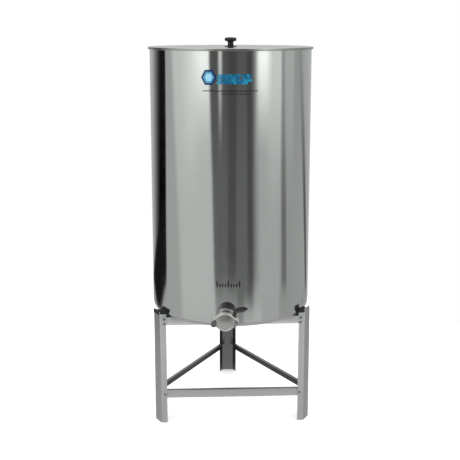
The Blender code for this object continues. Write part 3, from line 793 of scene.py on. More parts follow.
# %% The tree that lays a bead
RIPPLE_POINTS = 4.0
bead, given = new_tree("weld_bead", ["Bead radius", "Ripple", "Sheet radius", "Flatten"], ["Points"])
path = add_node(bead, "GeometryNodeMeshToCurve", given["Geometry"])
path = add_node(bead, "GeometryNodeResampleCurve", {"Curve": path, "Count": given["Points"]})
number = add_node(bead, "GeometryNodeInputIndex")
size = add_node(bead, MATH, number, RIPPLE_POINTS, operation="MODULO")
size = add_node(bead, MATH, size, given["Ripple"], 1.0, operation="MULTIPLY_ADD")
size = add_node(bead, MATH, size, given["Bead radius"], operation="MULTIPLY")
ring = add_node(bead, "GeometryNodeCurvePrimitiveCircle", {"Resolution": 8, "Radius": 1.0})
tube = add_node(bead, "GeometryNodeCurveToMesh",
                {"Curve": path, "Profile Curve": ring, "Scale": size, "Fill Caps": True})
position = add_node(bead, POSITION)
radius = add_node(bead, VECTORS, position, (1, 1, 0), operation="MULTIPLY")
radius = add_node(bead, VECTORS, radius, operation="LENGTH")
off = add_node(bead, MATH, radius, given["Sheet radius"], operation="SUBTRACT")
scale = add_node(bead, MATH, off, given["Flatten"], given["Sheet radius"],
                 operation="MULTIPLY_ADD")
scale = add_node(bead, MATH, scale, radius, operation="DIVIDE")
scale = add_node(bead, JOIN, scale, scale, 1.0)
place = add_node(bead, VECTORS, position, scale, operation="MULTIPLY")
laid = add_node(bead, MOVE, tube, None, place)
end_tree(bead, laid, given["Material"])

# %% Lay the beads
ABOVE_FOOT, BELOW_TOP = 1, 8            # where the seam starts and ends
middle_r = TANK_R - SHEET / 2
seam_line = [(0, middle_r, wall_low.z + ABOVE_FOOT), (0, middle_r, wall_high.z - BELOW_TOP)]
foot_line = [(x, y, wall_low.z) for x, y in circle(middle_r, 180)]
socket_line = [(x, -math.sqrt(TANK_R ** 2 - x ** 2), TAP_Z + z) for x, z in circle(hole_r, 72)]
# Name, points, whether the line is closed, points on the bead, its radius and its flatness
for name, points, closed, count, radius, flatten in (
        ("wall_seam_weld", seam_line, False, 1600, 1.9, 0.5),
        ("foot_weld", foot_line, True, 2600, 1.1, 0.65),
        ("socket_weld", socket_line, True, 380, 1.5, 1.0)):
    pairs = [(i, (i + 1) % len(points)) for i in range(len(points) - (not closed))]
    path = bpy.data.meshes.new("path")
    path.from_pydata([Vector(p) * MM for p in points], pairs, [])
    weld = work(name, path)
    grow(weld, bead, {"Bead radius": radius * MM, "Ripple": 0.05, "Points": count,
                      "Sheet radius": middle_r * MM, "Flatten": flatten, "Material": weld_steel})
    finish_piece(weld, "root", "tank_steel", weld_steel, None, tank_frame, crease=80)

# %% [markdown]
# ## The lid and its knob
# The lid is a flat disc with a turned-down edge, spun from sheet. The edge is rolled into a hem,
# so it's safe to hold. Its knob is a phenolic mushroom on a washer, held by a screw from inside.

# %% Lid
LID_SHEET, HEM, SCREW_HOLE = 1.4, 2.6, 3.3
FLAT_RINGS = 6              # the flat part gets rings, or else its long faces would shade badly
lid_r = (lid_high.x - lid_low.x) / 2
top, foot, under = lid_high.z, lid_low.z, lid_high.z - LID_SHEET
profile = rounded([
    (SCREW_HOLE, top), (lid_r, top, 2.2), (lid_r, foot, HEM / 2), (lid_r - HEM, foot, HEM / 2),
    (lid_r - HEM, foot + HEM, HEM / 2), (lid_r - LID_SHEET, foot + HEM, 0.2),
    (lid_r - LID_SHEET, under, 0.9), (SCREW_HOLE, under)], steps=6)
rings = [SCREW_HOLE + (profile[1][0] - SCREW_HOLE) * i / FLAT_RINGS for i in range(1, FLAT_RINGS)]
profile = (profile[:1] + [(r, top) for r in rings] + profile[1:-1]
           + [(r, under) for r in rings[::-1]] + profile[-1:])
turn_piece("lid_disc", profile, 288, "lid", "lid_steel", lid_sheet, "lid", tank_frame)

# %% Knob, washer and screw
low, high = box("lid_knob")
cap_r, foot, top = (high.x - low.x) / 2, low.z, high.z
profile = rounded([
    (0, top), (0.5 * cap_r, top - 0.3, 20), (0.82 * cap_r, top - 1.4, 10), (cap_r, top - 4.6, 3.2),
    (cap_r, top - 12.4, 3.6), (0.74 * cap_r, top - 15.4, 2.5), (11, top - 16.6, 2),
    (11, foot + 7, 8), (12.2, foot, 0.6), (SCREW_HOLE, foot), (SCREW_HOLE, top - 8),
    (0, top - 8)], steps=6)
turn_piece("lid_knob_mushroom", profile, 72, "lid", "black_plastic", matt_plastic, "lid_knob",
           tank_frame)

low, high = box("knob_washer")
washer_r = (high.x - low.x) / 2
profile = rounded([(SCREW_HOLE, high.z), (washer_r, high.z, 0.8), (washer_r, low.z, 0.4),
                   (SCREW_HOLE, low.z)])
turn_piece("lid_knob_washer", profile, 72, "lid", "black_plastic", matt_plastic, "knob_washer",
           tank_frame)

low, high = box("knob_screw")
seat, slot = under - GAP, low.z + 2
profile = rounded([(0, high.z), (3, high.z, 0.5), (3, seat), (6, seat, 0.4), (6, low.z, 1.6),
                   (2, low.z), (2, slot), (0, slot)])
turn_piece("knob_screw_turned", profile, 36, "lid", "bolt_steel", turned_steel, "knob_screw",
           tank_frame)

# %% [markdown]
# ## The gate's plumbing
# Out of the wall comes a threaded socket. A black ring nut pulls the gate's flanged tail against
# a gasket on it, and a thin bright ring locks the nut. These are turned parts. The nut has grips
# that are moulded lengthwise: the tree cuts the valleys between them with a wave of the angle.

# %% Socket, gasket and lock ring
BORE_R, NECK_R, TAIL_R = 22.5, 26.2, 27.2
SOCKET_IN, SOCKET_OUT = -14, 36
TAIL_START, TAIL_END = 39.1, 45.1
NUT_START, NUT_END, NUT_R = 4, 68, 34
LOCK_END, LOCK_R = 82, 32.5
lock_bore = NECK_R + GAP
# Name, slot, material, node, inner and outer radius, start and end, rounding, its steps, facets
for name, slot, material, node, inner, outer, start, end, radius, steps, facets in (
        ("tap_socket_turned", "tap_steel", turned_steel, "tap_socket",
         BORE_R, SOCKET_R, SOCKET_IN, SOCKET_OUT, 0.6, 3, 96),
        ("tap_gasket_moulded", "black_rubber", black_rubber, "tap_gasket",
         BORE_R, TAIL_R, SOCKET_OUT + GAP, TAIL_START - GAP, 0.5, 3, 96),
        ("tap_lock_ring_turned", "tap_steel", turned_steel, "tap_lock_ring",
         lock_bore, LOCK_R, NUT_END + GAP, LOCK_END, 1.6, 5, 120)):
    profile = rounded([(inner, end), (outer, end), (outer, start), (inner, start)], radius, steps)
    turn_piece(name, profile, facets, "root", slot, material, node, tap_frame)

# %% The tree that cuts the grips
VALLEY = (0.5, -0.7)        # values of the wave at a valley's edge and floor
grips, given = new_tree("lengthwise_grips", ["Count", "Depth", "From", "To", "Outside of"])
position = add_node(grips, POSITION)
spot = add_node(grips, SPLIT, position).outputs
wave = add_node(grips, MATH, spot["Y"], spot["X"], operation="ARCTAN2")
wave = add_node(grips, MATH, wave, given["Count"], operation="MULTIPLY")
wave = add_node(grips, MATH, wave, operation="COSINE")
mask = add_node(grips, RANGE, wave, *VALLEY, interpolation_type="SMOOTHSTEP")
flat = add_node(grips, VECTORS, position, (1, 1, 0), operation="MULTIPLY")
radius = add_node(grips, VECTORS, flat, operation="LENGTH")
for value, limit, test in ((spot["Z"], "From", "GREATER_THAN"), (spot["Z"], "To", "LESS_THAN"),
                           (radius, "Outside of", "GREATER_THAN")):
    inside = add_node(grips, MATH, value, given[limit], operation=test)
    mask = add_node(grips, MATH, mask, inside, operation="MULTIPLY")
inward = add_node(grips, MATH, mask, given["Depth"], operation="MULTIPLY")
inward = add_node(grips, MATH, inward, radius, operation="DIVIDE")
inward = add_node(grips, MATH, inward, -1.0, operation="MULTIPLY")
pushed = add_node(grips, VECTORS, flat, {"Scale": inward}, operation="SCALE")
cut_grips = add_node(grips, MOVE, given["Geometry"], None, None, pushed)
end_tree(grips, cut_grips, given["Material"])

# %% Ring nut
LIP = 45.4                  # where the nut's lip catches the gate's tail
grip_from, grip_to = NUT_START + 6, NUT_END - 7
outline = rounded([
    (lock_bore, NUT_END), (NUT_R, NUT_END, 2.2), (NUT_R, NUT_START, 2.2), (hole_r, NUT_START),
    (hole_r, LIP), (lock_bore, LIP)], steps=5)
heights = [grip_to + 1, grip_to - 0.5]
heights += [grip_to + (grip_from - grip_to) * i / 8 for i in range(1, 8)]
heights += [grip_from + 0.5, grip_from - 1]
outline[7:7] = [(NUT_R, z) for z in heights]        # after the first rounded corner
nut = work("tap_ring_nut_moulded", turned(outline, 288))
grow(nut, grips, {"Count": 24.0, "Depth": 1.3 * MM, "From": grip_from * MM, "To": grip_to * MM,
                  "Outside of": (NUT_R - 0.1) * MM, "Material": black_plastic})
finish_piece(nut, "root", "black_plastic", black_plastic, "tap_ring_nut", tap_frame)

# %% [markdown]
# ## The gate's castings
# The neck ends in an eye-shaped flange with an ear on each side. A second flange of the same
# shape stands in front of it, and the blade swings in the slot between them. The outline is three
# arcs that touch, the neck is added with a boolean, and a bevel gives the casting's soft edges.

# %% Flanges and neck
EAR_X, EAR_R, EYE_R, MOUTH_R, BOLT_R = 40, 9.5, 33.2, 28.5, 3.5
EYE_START, EYE_END, FRONT_START, FRONT_END = 115, 125.5, 129.5, 140
NECK_BED = EYE_START + 3    # where the neck ends, inside the flange

lean = math.degrees(math.acos((EYE_R - EAR_R) / EAR_X))
eye = []
for x, radius, start, end, steps in ((EAR_X, EAR_R, -lean, lean, 20),
                                     (0, EYE_R, lean, 180 - lean, 28),
                                     (-EAR_X, EAR_R, 180 - lean, 180 + lean, 20),
                                     (0, EYE_R, 180 + lean, 360 - lean, 28)):
    eye += arc((x, 0), radius, start, end, steps)[:-1]
bolt_holes = [circle(BOLT_R + GAP, 32, x) for x in (-EAR_X, EAR_X)]

body = work("tap_body_cast", plate([eye, circle(BORE_R, 96)] + bolt_holes, EYE_START, EYE_END))
neck = turned([(BORE_R, NECK_BED), (NECK_R, NECK_BED), (NECK_R, TAIL_END), (TAIL_R, TAIL_END),
               (TAIL_R, TAIL_START), (BORE_R, TAIL_START)], 96)
combine(body, work("neck", neck), "UNION")
soften(body, 2.0, segments=4)
finish_piece(body, "root", "tap_steel", cast_steel, "tap_body", tap_frame)

front = work("tap_front_flange_cast",
             plate([eye, circle(MOUTH_R, 96)] + bolt_holes, FRONT_START, FRONT_END))
soften(front, 2.4, segments=4)
finish_piece(front, "root", "tap_steel", cast_steel, "tap_front_flange", tap_frame)

# %% [markdown]
# ## The blade and its lever
# The blade is one flat laser-cut plate: an ear round the pivot, a disc that closes the bore, and
# an arm that ends in a leaf for the fingers. The lever's outline is a smooth curve through a few
# points, drawn as a cardinal spline. The blade belongs to the body that swings.

# %% Blade
GATE_R, GATE_T, PLAY = 30.5, 3, 0.5
LEVER = [(38.0, 10.5), (39.2, 17.0), (39.4, 27.0), (42.0, 33.0), (52.0, 34.9), (65.5, 37.5),
         (74.0, 42.5), (80.8, 49.4), (73.5, 54.0), (64.0, 55.9), (52.0, 54.0), (40.0, 50.5),
         (32.0, 44.0), (27.0, 34.0), (24.5, 26.0)]


def smooth_line(points, steps=4):
    """A cardinal spline through the points, which starts and ends on the first and last."""
    ends = [points[0]] + points + [points[-1]]
    line = []
    for corners in zip(ends, ends[1:], ends[2:], ends[3:]):
        for t in [k / steps for k in range(steps)]:
            line.append(tuple(
                0.5 * (2 * b + (c - a) * t + (2 * a - 5 * b + 4 * c - d) * t ** 2
                       + (3 * b - a - 3 * c + d) * t ** 3) for a, b, c, d in zip(*corners)))
    return line + [points[-1]]


lean = math.degrees(math.acos((GATE_R - EAR_R) / EAR_X))
outline = arc((-EAR_X, 0), EAR_R, 180 - lean, 180 + lean, 20)
outline += arc((0, 0), GATE_R, 180 + lean, 352, 40) + smooth_line(LEVER)
outline += arc((0, 0), GATE_R, 62, 180 - lean, 16)
blade = work("tap_gate_blade", plate([outline, circle(BOLT_R + PLAY, 32, -EAR_X)],
                                     EYE_END + PLAY, EYE_END + PLAY + GATE_T))
soften(blade, 0.5)
finish_piece(blade, "gate", "tap_steel", blade_steel, "tap_gate", tap_frame)

# %% [markdown]
# ## Pivot, clamp bolt and wing nut
# The blade turns on a bolt with a round knob. A wing nut on the other ear clamps the flanges, so
# the blade doesn't weep. A wing nut is a hub with two ears; each ear is a flat outline that is
# thicker at its root, which a taper in the mesh gives.

# %% Bolts and the pivot's knob
HEX_R, HEX_T = 7.4, 4.5
knob_start = FRONT_END + GAP
seat = EYE_START - GAP
for name, x, length, node in (("pivot_screw_bolt", -EAR_X, 17, "pivot_screw"),
                              ("clamp_screw_bolt", EAR_X, 12, "clamp_screw")):
    end = knob_start + length
    bolt = work(name, plate([circle(HEX_R, 6)], seat - HEX_T, seat))
    shank = turned([(0, end), (BOLT_R - 0.5, end), (BOLT_R, end - 0.6), (BOLT_R, seat - 1),
                    (0, seat - 1)], 36)
    combine(bolt, work("shank", shank), "UNION")
    soften(bolt, 0.4)
    finish_piece(bolt, "root", "bolt_steel", turned_steel, node, tap_frame @ shift(x))

end = AXIS_Y - TANK_R - box("pivot_knob")[0].y
blind = knob_start + 17.5
profile = rounded([(0, end), (10, end, 2.4), (10, knob_start, 2), (BOLT_R + GAP, knob_start),
                   (BOLT_R + GAP, blind), (0, blind)], steps=6)
turn_piece("pivot_knob_moulded", profile, 48, "root", "black_plastic", worn_plastic, "pivot_knob",
           tap_frame @ shift(-EAR_X))

# %% Wing nut
WING_T, WING_THINNER = 3, 0.35
WING = [(4.6, 1.5), (7.5, 2.2), (10.2, 4.6), (12.2, 8.6), (12.5, 12.4), (11.3, 13.9), (9.4, 13.2),
        (7.4, 10.0), (5.4, 8.6), (4.6, 8.4)]
root, tip = 4.6 * MM, 12.5 * MM
hub = rounded([(BOLT_R + GAP, 10), (5.6, 10, 0.8), (6.5, 0, 0.5), (BOLT_R + GAP, 0)])
wing_nut = work("clamp_wing_nut_cast", turned(hub, 48))
for side in (1, -1):
    wing = work("wing", plate([smooth_line(WING)], -WING_T / 2, WING_T / 2))
    for vertex in wing.data.vertices:
        vertex.co.z *= 1.0 - WING_THINNER * (vertex.co.x - root) / (tip - root)
    wing.data.transform(Matrix(((0, 0, side, 0), (side, 0, 0, 0), (0, 1, 0, 0), (0, 0, 0, 1))))
    soften(wing, 0.6, segments=3)
    settle(wing)
    combine(wing_nut, wing, "UNION")
finish_piece(wing_nut, "root", "bolt_steel", dull_steel, "clamp_wing_nut",
             tap_frame @ shift(EAR_X, 0, knob_start))

# %% [markdown]
# ## The stand: folded sheet
# Legs and rails are flat blanks that are folded in a press brake, one stroke a fold. The tree is
# one stroke: what lies past the fold line goes round an arc and then straight on at the new
# angle. The blank is drawn flat, the strokes follow each other as modifiers, and Solidify then
# gives the sheet its thickness on the inner side.

# %% The tree for one stroke of the press brake
stroke, given = new_tree("press_brake_stroke", ["Fold line", "Side", "Bend radius", "Angle"])
spot = add_node(stroke, SPLIT, add_node(stroke, POSITION)).outputs
out = add_node(stroke, MATH, spot["X"], given["Side"], operation="MULTIPLY")
past = add_node(stroke, MATH, out, given["Fold line"], operation="SUBTRACT")
used = add_node(stroke, MATH, given["Angle"], given["Bend radius"], operation="MULTIPLY")
bend = add_node(stroke, RANGE, past, 0.0, used, 0.0, given["Angle"])
rest = add_node(stroke, MATH, past, used, operation="SUBTRACT")
rest = add_node(stroke, MATH, rest, 0.0, operation="MAXIMUM")
sine = add_node(stroke, MATH, bend, operation="SINE")
cosine = add_node(stroke, MATH, bend, operation="COSINE")
across = add_node(stroke, MATH, out, given["Fold line"], operation="MINIMUM")
across = add_node(stroke, MATH, sine, given["Bend radius"], across, operation="MULTIPLY_ADD")
across = add_node(stroke, MATH, rest, cosine, across, operation="MULTIPLY_ADD")
across = add_node(stroke, MATH, across, given["Side"], operation="MULTIPLY")
down = add_node(stroke, MATH, 1.0, cosine, operation="SUBTRACT")
down = add_node(stroke, MATH, down, given["Bend radius"], operation="MULTIPLY")
down = add_node(stroke, MATH, rest, sine, down, operation="MULTIPLY_ADD")
deep = add_node(stroke, MATH, spot["Y"], down, operation="SUBTRACT")
place = add_node(stroke, JOIN, across, deep, spot["Z"])
folded = add_node(stroke, MOVE, given["Geometry"], None, place)
end_tree(stroke, folded, given["Material"])

# %% A flat blank, and folding it
STAND_SHEET = 2


def blank(columns, rows, keep=None):
    """A flat sheet in XZ that faces +Y, on a grid of lines. keep(x, z) drops cells of it."""
    bm = bmesh.new()
    verts = {}
    for x0, x1 in zip(columns, columns[1:]):
        for z0, z1 in zip(rows, rows[1:]):
            if keep and not keep((x0 + x1) / 2, (z0 + z1) / 2):
                continue
            corners = [(x0, z0), (x0, z1), (x1, z1), (x1, z0)]
            for x, z in corners:
                if (x, z) not in verts:
                    verts[x, z] = bm.verts.new((x * MM, 0, z * MM))
            bm.faces.new([verts[c] for c in corners])
    return as_mesh(bm, outwards=False)


def between(start, end, parts):
    """Even steps after the start, up to the end."""
    return [start + (end - start) * i / parts for i in range(1, parts + 1)]


def fold(obj, strokes, radius, material):
    """Folds a blank with one stroke for each (fold line, side, angle), and gives it thickness."""
    for line, side, angle in strokes:
        grow(obj, stroke, {"Fold line": line * MM, "Side": side, "Bend radius": radius * MM,
                           "Angle": angle, "Material": material})
    settle(obj)
    thicken(obj, STAND_SHEET, even=True)
    soften(obj, 0.3, angle=50)


print("a blank can be folded")

# %% Legs
LEG_RADIUS, LEG_WEB, LEG_FLANGE = 338.5, 49.1, 24.4
LEG_FOLD, LEG_BEND_R, LEG_TOP = math.radians(60), 4.0, 447
MID_WEB = 0.45              # an extra column on each half of the web, as a share of the half
LEGS = {"left": 210, "right": 330, "rear": 90}

setback = LEG_BEND_R * math.tan(LEG_FOLD / 2)
web_half = LEG_WEB / 2 - setback
bend_end = web_half + LEG_BEND_R * LEG_FOLD
half = [MID_WEB * web_half, web_half] + between(web_half, bend_end, 5)
half += between(bend_end, bend_end + LEG_FLANGE - setback, 2)
columns = [-x for x in half[::-1]] + half
leg_places = {}
for name, bearing in LEGS.items():
    rows = [0] + between(0, LEG_TOP, 12) + [box(f"leg_{name}")[1].z]
    leg = work(f"leg_{name}_folded",
               blank(columns, rows, lambda x, z: z < LEG_TOP or abs(x) < web_half))
    fold(leg, [(web_half, 1.0, LEG_FOLD), (web_half, -1.0, LEG_FOLD)], LEG_BEND_R, leg_sheet)
    turn = Matrix.Rotation(math.radians(bearing - 90), 4, "Z")
    leg_places[name] = stand_frame @ turn @ shift(y=LEG_RADIUS)
    finish_piece(leg, "root", "stand_steel", leg_sheet, f"leg_{name}", leg_places[name])

# %% Rails
RAIL_H, RAIL_FLANGE, RAIL_BEND_R = 31, 16, 3.5
RAIL_PLAY = 4               # between a rail's end and the leg's corner
RAILS = {"front": 270, "right": 30, "left": 150}
face = LEG_RADIUS * math.cos(LEG_FOLD) + LEG_WEB / 2 * math.sin(LEG_FOLD) - STAND_SHEET - GAP
corner = LEG_RADIUS * math.sin(LEG_FOLD) - LEG_WEB / 2 * math.cos(LEG_FOLD)
rail_length = 2 * (corner - RAIL_PLAY)
fold_line = RAIL_H - RAIL_BEND_R
bend_end = fold_line + RAIL_BEND_R * math.pi / 2
columns = [0, fold_line / 2, fold_line] + between(fold_line, bend_end, 5)
columns += [bend_end + RAIL_FLANGE - RAIL_BEND_R]
for level in ("lower", "upper"):
    low = box(f"{level}_rail_front")[0].z
    for name, bearing in RAILS.items():
        rail = work(f"{level}_rail_{name}_folded",
                    blank(columns, [0] + between(0, rail_length, 12)))
        fold(rail, [(fold_line, 1.0, math.pi / 2)], RAIL_BEND_R, rail_sheet)
        # The blank's X goes up, its Y outwards and its Z along the rail
        turn = Matrix.Rotation(math.radians(bearing), 4, "Z")
        upright = Matrix(((0, 1, 0, 0), (0, 0, 1, 0), (1, 0, 0, 0), (0, 0, 0, 1)))
        place = stand_frame @ turn @ shift(face, -rail_length / 2, low) @ upright
        finish_piece(rail, "root", "stand_steel", rail_sheet, f"{level}_rail_{name}", place)

# %% [markdown]
# ## Screws
# A button-head screw and a nut hold each rail to each flange: two at the top and one lower down.
# That is eighteen of each, so they are a job for instances. The points carry the direction that
# they face, the tree turns a screw that way and spins it by a random amount with a fixed seed.

# %% One screw and one nut
profile = rounded([(0, 2.6), (1.7, 2.6), (3.4, 2.1, 4), (4.8, 0.6, 1), (4.8, 0), (0, 0)], steps=3)
screw_head = work("screw_head", turned(profile, 24))
combine(screw_head, work("key", plate([circle(1.75, 6)], 0.7, 4)), "DIFFERENCE")

hex_nut = work("hex_nut", plate([circle(4.6, 6)], 0, 3.6))
thread = turned([(0, 5.6), (2.1, 5.6), (2.5, 5.2), (2.5, 1), (0, 1)], 20)
combine(hex_nut, work("thread_end", thread), "UNION")
soften(hex_nut, 0.35)
settle(hex_nut)
print("screw", len(screw_head.data.polygons), "faces, nut", len(hex_nut.data.polygons), "faces")

# %% The tree that drives the screws
drive, given = new_tree("drive_screws", whole=["Seed"], objects=["Screw"])
points = add_node(drive, "GeometryNodeMeshToPoints", given["Geometry"])
facing = add_node(drive, "GeometryNodeInputNamedAttribute", "facing", data_type="FLOAT_VECTOR")
aim = add_node(drive, "FunctionNodeAlignRotationToVector", {"Vector": facing}, axis="Z")
spin = add_node(drive, "FunctionNodeRandomValue",
                {"Min": 0.0, "Max": math.tau, "Seed": given["Seed"]}, data_type="FLOAT")
spin = add_node(drive, "FunctionNodeAxisAngleToRotation", (0, 0, 1), spin)
aim = add_node(drive, "FunctionNodeRotateRotation", aim, spin, rotation_space="LOCAL")
one = add_node(drive, "GeometryNodeObjectInfo", given["Screw"]).outputs["Geometry"]
driven = add_node(drive, "GeometryNodeInstanceOnPoints",
                  {"Points": points, "Instance": one, "Rotation": aim})
end_tree(drive, driven, given["Material"])

# %% Where they go
SCREW_ALONG = 16.6          # from the leg's outer corner along the flange
SCREW_HEIGHTS = [119.0, 408.5, 427.0]
THROUGH = 2 * STAND_SHEET + GAP         # the leg's sheet and the rail's sheet


def flange(side):
    """A flange's outer corner in a leg's frame, in mm, and its ways inwards and outwards."""
    down = Vector((side * math.cos(LEG_FOLD), -math.sin(LEG_FOLD), 0))
    normal = Vector((side * math.sin(LEG_FOLD), math.cos(LEG_FOLD), 0))
    return Vector((side * LEG_WEB / 2, 0, 0)), down, normal


heads, nuts = [], []
for place in leg_places.values():
    for side in (1, -1):
        corner, down, normal = flange(side)
        for z in SCREW_HEIGHTS:
            spot = corner + down * SCREW_ALONG + Vector((0, 0, z))
            heads.append((place @ (spot * MM), place.to_3x3() @ normal))
            nuts.append((place @ ((spot - normal * THROUGH) * MM), place.to_3x3() @ -normal))

for name, points, what in (("stand_screws", heads, screw_head), ("stand_nuts", nuts, hex_nut)):
    mesh = bpy.data.meshes.new(name)
    mesh.from_pydata([point for point, _ in points], [], [])
    attribute = mesh.attributes.new("facing", "FLOAT_VECTOR", "POINT")
    for item, (_, normal) in zip(attribute.data, points):
        item.vector = normal
    screws = work(name, mesh)
    grow(screws, drive, {"Screw": what, "Seed": 3, "Material": dull_steel})
    finish_piece(screws, "root", "stand_steel", dull_steel)
    bpy.data.objects.remove(what)

# %% [markdown]
# ## Rubber pads
# A moulded pad hangs in the top of each leg and keeps the tank from the steel. The CAD's shape is
# right, so it's copied, its loose triangles are merged, and its edges are rounded as a mould does.
# Each pad goes on past the leg as a thin lip on either side, which fills the wedge between the
# tank's round foot and the rail. The lip is a flat outline in the plane of the leg's flange.

# %% Pads and their lips
LIP_OUTLINE = [(20, 433.6), (38.4, 433.6), (38.4, 436.8), (36.4, 438.4), (34.4, 440.5),
               (31.4, 445.2), (20, 445.2)]      # along the flange from the leg's corner, and up
LIP_DEPTHS = (2.4, 6.0)     # behind the flange's outer face
for name in LEGS:
    bm = bmesh.new()
    bm.from_mesh(frame["nodes"][f"pad_{name}"].data)
    bmesh.ops.remove_doubles(bm, verts=bm.verts, dist=0.02 * MM)
    bmesh.ops.dissolve_limit(bm, angle_limit=math.radians(2), verts=bm.verts, edges=bm.edges)
    pad = work(f"pad_{name}_moulded", as_mesh(bm, outwards=False))
    soften(pad, 0.7, angle=35, segments=3)
    finish_piece(pad, "root", "black_rubber", black_rubber, f"pad_{name}")

for name, place in leg_places.items():
    for side, side_name in ((1, "right"), (-1, "left")):
        corner, down, normal = flange(side)
        inwards = normal * -side
        depths = sorted(side * depth for depth in LIP_DEPTHS)
        lip = work(f"pad_{name}_lip_{side_name}", plate([LIP_OUTLINE], *depths))
        lip.data.transform(shift(*corner) @ Matrix(((down.x, 0, inwards.x, 0),
                                                    (down.y, 0, inwards.y, 0),
                                                    (0, 1, 0, 0), (0, 0, 0, 1))))
        soften(lip, 0.4)
        finish_piece(lip, "root", "black_rubber", black_rubber, None, place)

# %% [markdown]
# ## The print on the wall
# High on the wall is a plain pattern of honeycomb cells in blue, with a large cell at its left
# and two thin rules below, and low down are level marks. A honeycomb is a grid in which every
# other row is shifted by half a cell. The tree draws it flat, drops cells more and more often
# towards the right, gives each a random shade, and wraps it by the rule that rolled the wall.

# %% The tree for honeycomb print
INK_T, INK_LIFT, SHADE_SEED = 0.3, 0.08, 11

comb, given = new_tree("wrapped_cells", ["Cell", "Row step", "Row shift", "Fill", "Tall", "Fade",
                                         "Radius", "Azimuth", "Height"],
                       ["Across", "Up", "Corners", "Fineness", "Seed"])
# One line of points after another: the row number is the index divided by the count across
number = add_node(comb, "GeometryNodeInputIndex")
total = add_node(comb, MATH, given["Across"], given["Up"], operation="MULTIPLY")
points = add_node(comb, "GeometryNodeMeshLine", {"Count": total})
row = add_node(comb, MATH, number, given["Across"], operation="DIVIDE")
row = add_node(comb, MATH, row, operation="FLOOR")
column = add_node(comb, MATH, number, given["Across"], operation="MODULO")
odd = add_node(comb, MATH, row, 2.0, operation="MODULO")
x = add_node(comb, MATH, odd, given["Row shift"], column, operation="MULTIPLY_ADD")
x = add_node(comb, MATH, x, given["Cell"], operation="MULTIPLY")
y = add_node(comb, MATH, row, given["Row step"], operation="MULTIPLY")
points = add_node(comb, MOVE, points, None, add_node(comb, JOIN, x, y))
limit = add_node(comb, MATH, column, given["Across"], operation="DIVIDE")
limit = add_node(comb, MATH, limit, given["Fade"], operation="MULTIPLY")
chance = add_node(comb, "FunctionNodeRandomValue", {"Seed": given["Seed"]}, data_type="FLOAT")
drop = add_node(comb, MATH, chance, limit, operation="LESS_THAN")
points = add_node(comb, "GeometryNodeDeleteGeometry", points, drop, domain="POINT")
print("the grid's part of the tree has", len(comb.nodes), "nodes")

# %% The tree goes on: a prism on each point, its shade, and the wrap
prism_r = add_node(comb, MATH, given["Cell"], given["Fill"], operation="MULTIPLY")
prism = add_node(comb, "GeometryNodeMeshCylinder",
                 {"Vertices": given["Corners"], "Radius": prism_r, "Depth": INK_T * MM})
stretch = add_node(comb, JOIN, 1.0, given["Tall"], 1.0)
cells = add_node(comb, "GeometryNodeInstanceOnPoints",
                 {"Points": points, "Instance": prism, "Scale": stretch})
shade = add_node(comb, "FunctionNodeRandomValue", {"Seed": SHADE_SEED}, data_type="FLOAT")
cells = add_node(comb, "GeometryNodeStoreNamedAttribute",
                 {"Geometry": cells, "Name": "tone", "Value": shade},
                 data_type="FLOAT", domain="INSTANCE")
cells = add_node(comb, "GeometryNodeRealizeInstances", cells)
cells = add_node(comb, "GeometryNodeSubdivideMesh", cells, given["Fineness"])
spot = add_node(comb, SPLIT, add_node(comb, POSITION)).outputs
angle = add_node(comb, MATH, spot["X"], given["Radius"], operation="DIVIDE")
angle = add_node(comb, MATH, angle, given["Azimuth"], operation="ADD")
r = add_node(comb, MATH, spot["Z"], given["Radius"], operation="ADD")
z = add_node(comb, MATH, spot["Y"], given["Height"], operation="ADD")
place = add_node(comb, TURN, add_node(comb, JOIN, r, 0.0, z), {"Angle": angle},
                 rotation_type="Z_AXIS")
end_tree(comb, add_node(comb, MOVE, cells, None, place), given["Material"])

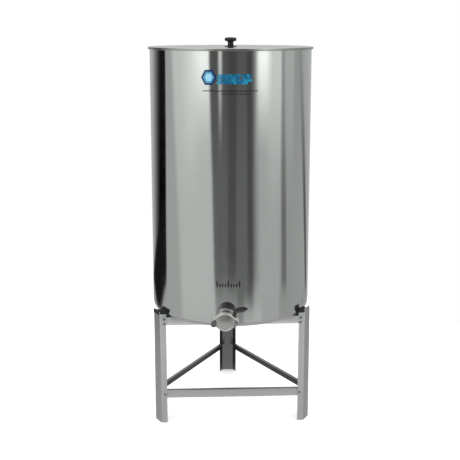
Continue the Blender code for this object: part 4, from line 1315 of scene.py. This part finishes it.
# %% Print the pattern, the rules and the level marks
# Name, ink, cells across and up, their distance, their radius, how tall they are, bearing from
# the camera's side in degrees, height on the wall, how far it lies on another print, and what a
# print has of its own
PRINTS = [
    ("honeycomb_print", blue_ink, 12, 4, 10.2, 5.559, 1.0, -8.3, 1340, 0, {"Fade": 0.22}),
    ("large_cell_outer_print", navy_ink, 1, 1, 28.5, 28.5, 1.08, -14.4, 1359.5, 0, {"Fineness": 4}),
    ("large_cell_middle_print", mid_ink, 1, 1, 21, 21, 1.08, -14.4, 1359.5, 0.1, {"Fineness": 4}),
    ("large_cell_inner_print", pale_ink, 1, 1, 14, 14, 1.08, -14.4, 1359.5, 0.2, {"Fineness": 4}),
    ("upper_rule_print", dark_ink, 50, 1, 4, 2, 1.5, -18.4, 1312, 0, {"Corners": 4}),
    ("lower_rule_print", dark_ink, 26, 1, 4, 2, 1.5, -6.0, 1301.5, 0, {"Corners": 4}),
    ("level_marks_short_print", dark_ink, 9, 1, 10.4, 3.4, 3.0, -9.2, 597, 0, {"Corners": 4}),
    ("level_marks_long_print", dark_ink, 3, 1, 41.6, 3.4, 4.6, -9.2, 604, 0, {"Corners": 4}),
]
for name, material, across, up, cell, radius, tall, bearing, height, lift, own in PRINTS:
    block = work(name, bpy.data.meshes.new(name))
    grow(block, comb, {"Across": across, "Up": up, "Cell": cell * MM, "Row shift": 0.5,
                       "Row step": cell * MM * math.sqrt(3) / 2, "Fill": radius / cell,
                       "Tall": tall, "Fade": 0.0, "Radius": (TANK_R + INK_LIFT + lift) * MM,
                       "Azimuth": CAMERA_TURN + math.radians(bearing) - math.pi / 2,
                       "Height": height * MM, "Corners": 6, "Fineness": 1, "Seed": 5,
                       "Material": material, **own})
    finish_piece(block, "root", "tank_steel", material, None, tank_frame)

# %% [markdown]
# ## What the drum mirrors
# In the photograph the drum shows no mirror image of the gate or the pads, so they are hidden
# from mirrored rays. They still throw shadows and the camera still sees them.

# %% Hide the gate and the pads from mirrored rays
unmirrored = [o for o in scene.objects if o.name.startswith(("tap_", "pivot_", "clamp_", "pad_"))
              and o.type == "MESH" and not o.hide_render]
for obj in unmirrored:
    obj.visible_glossy = False
print("not mirrored:", [o.name for o in unmirrored])

# %% [markdown]
# ## Last checks
# Every shown CAD node has to have a finish of its own by now, and those still shown are printed. The
# size of the dressed model is printed too, because the looks may not change the tank's size.

# %% Finish
left_plain = [name for name, obj in frame["nodes"].items() if not obj.hide_render]
print("CAD nodes still shown:", left_plain)
low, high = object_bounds()
print("visual size in mm", [round(v / MM, 1) for v in high - low])
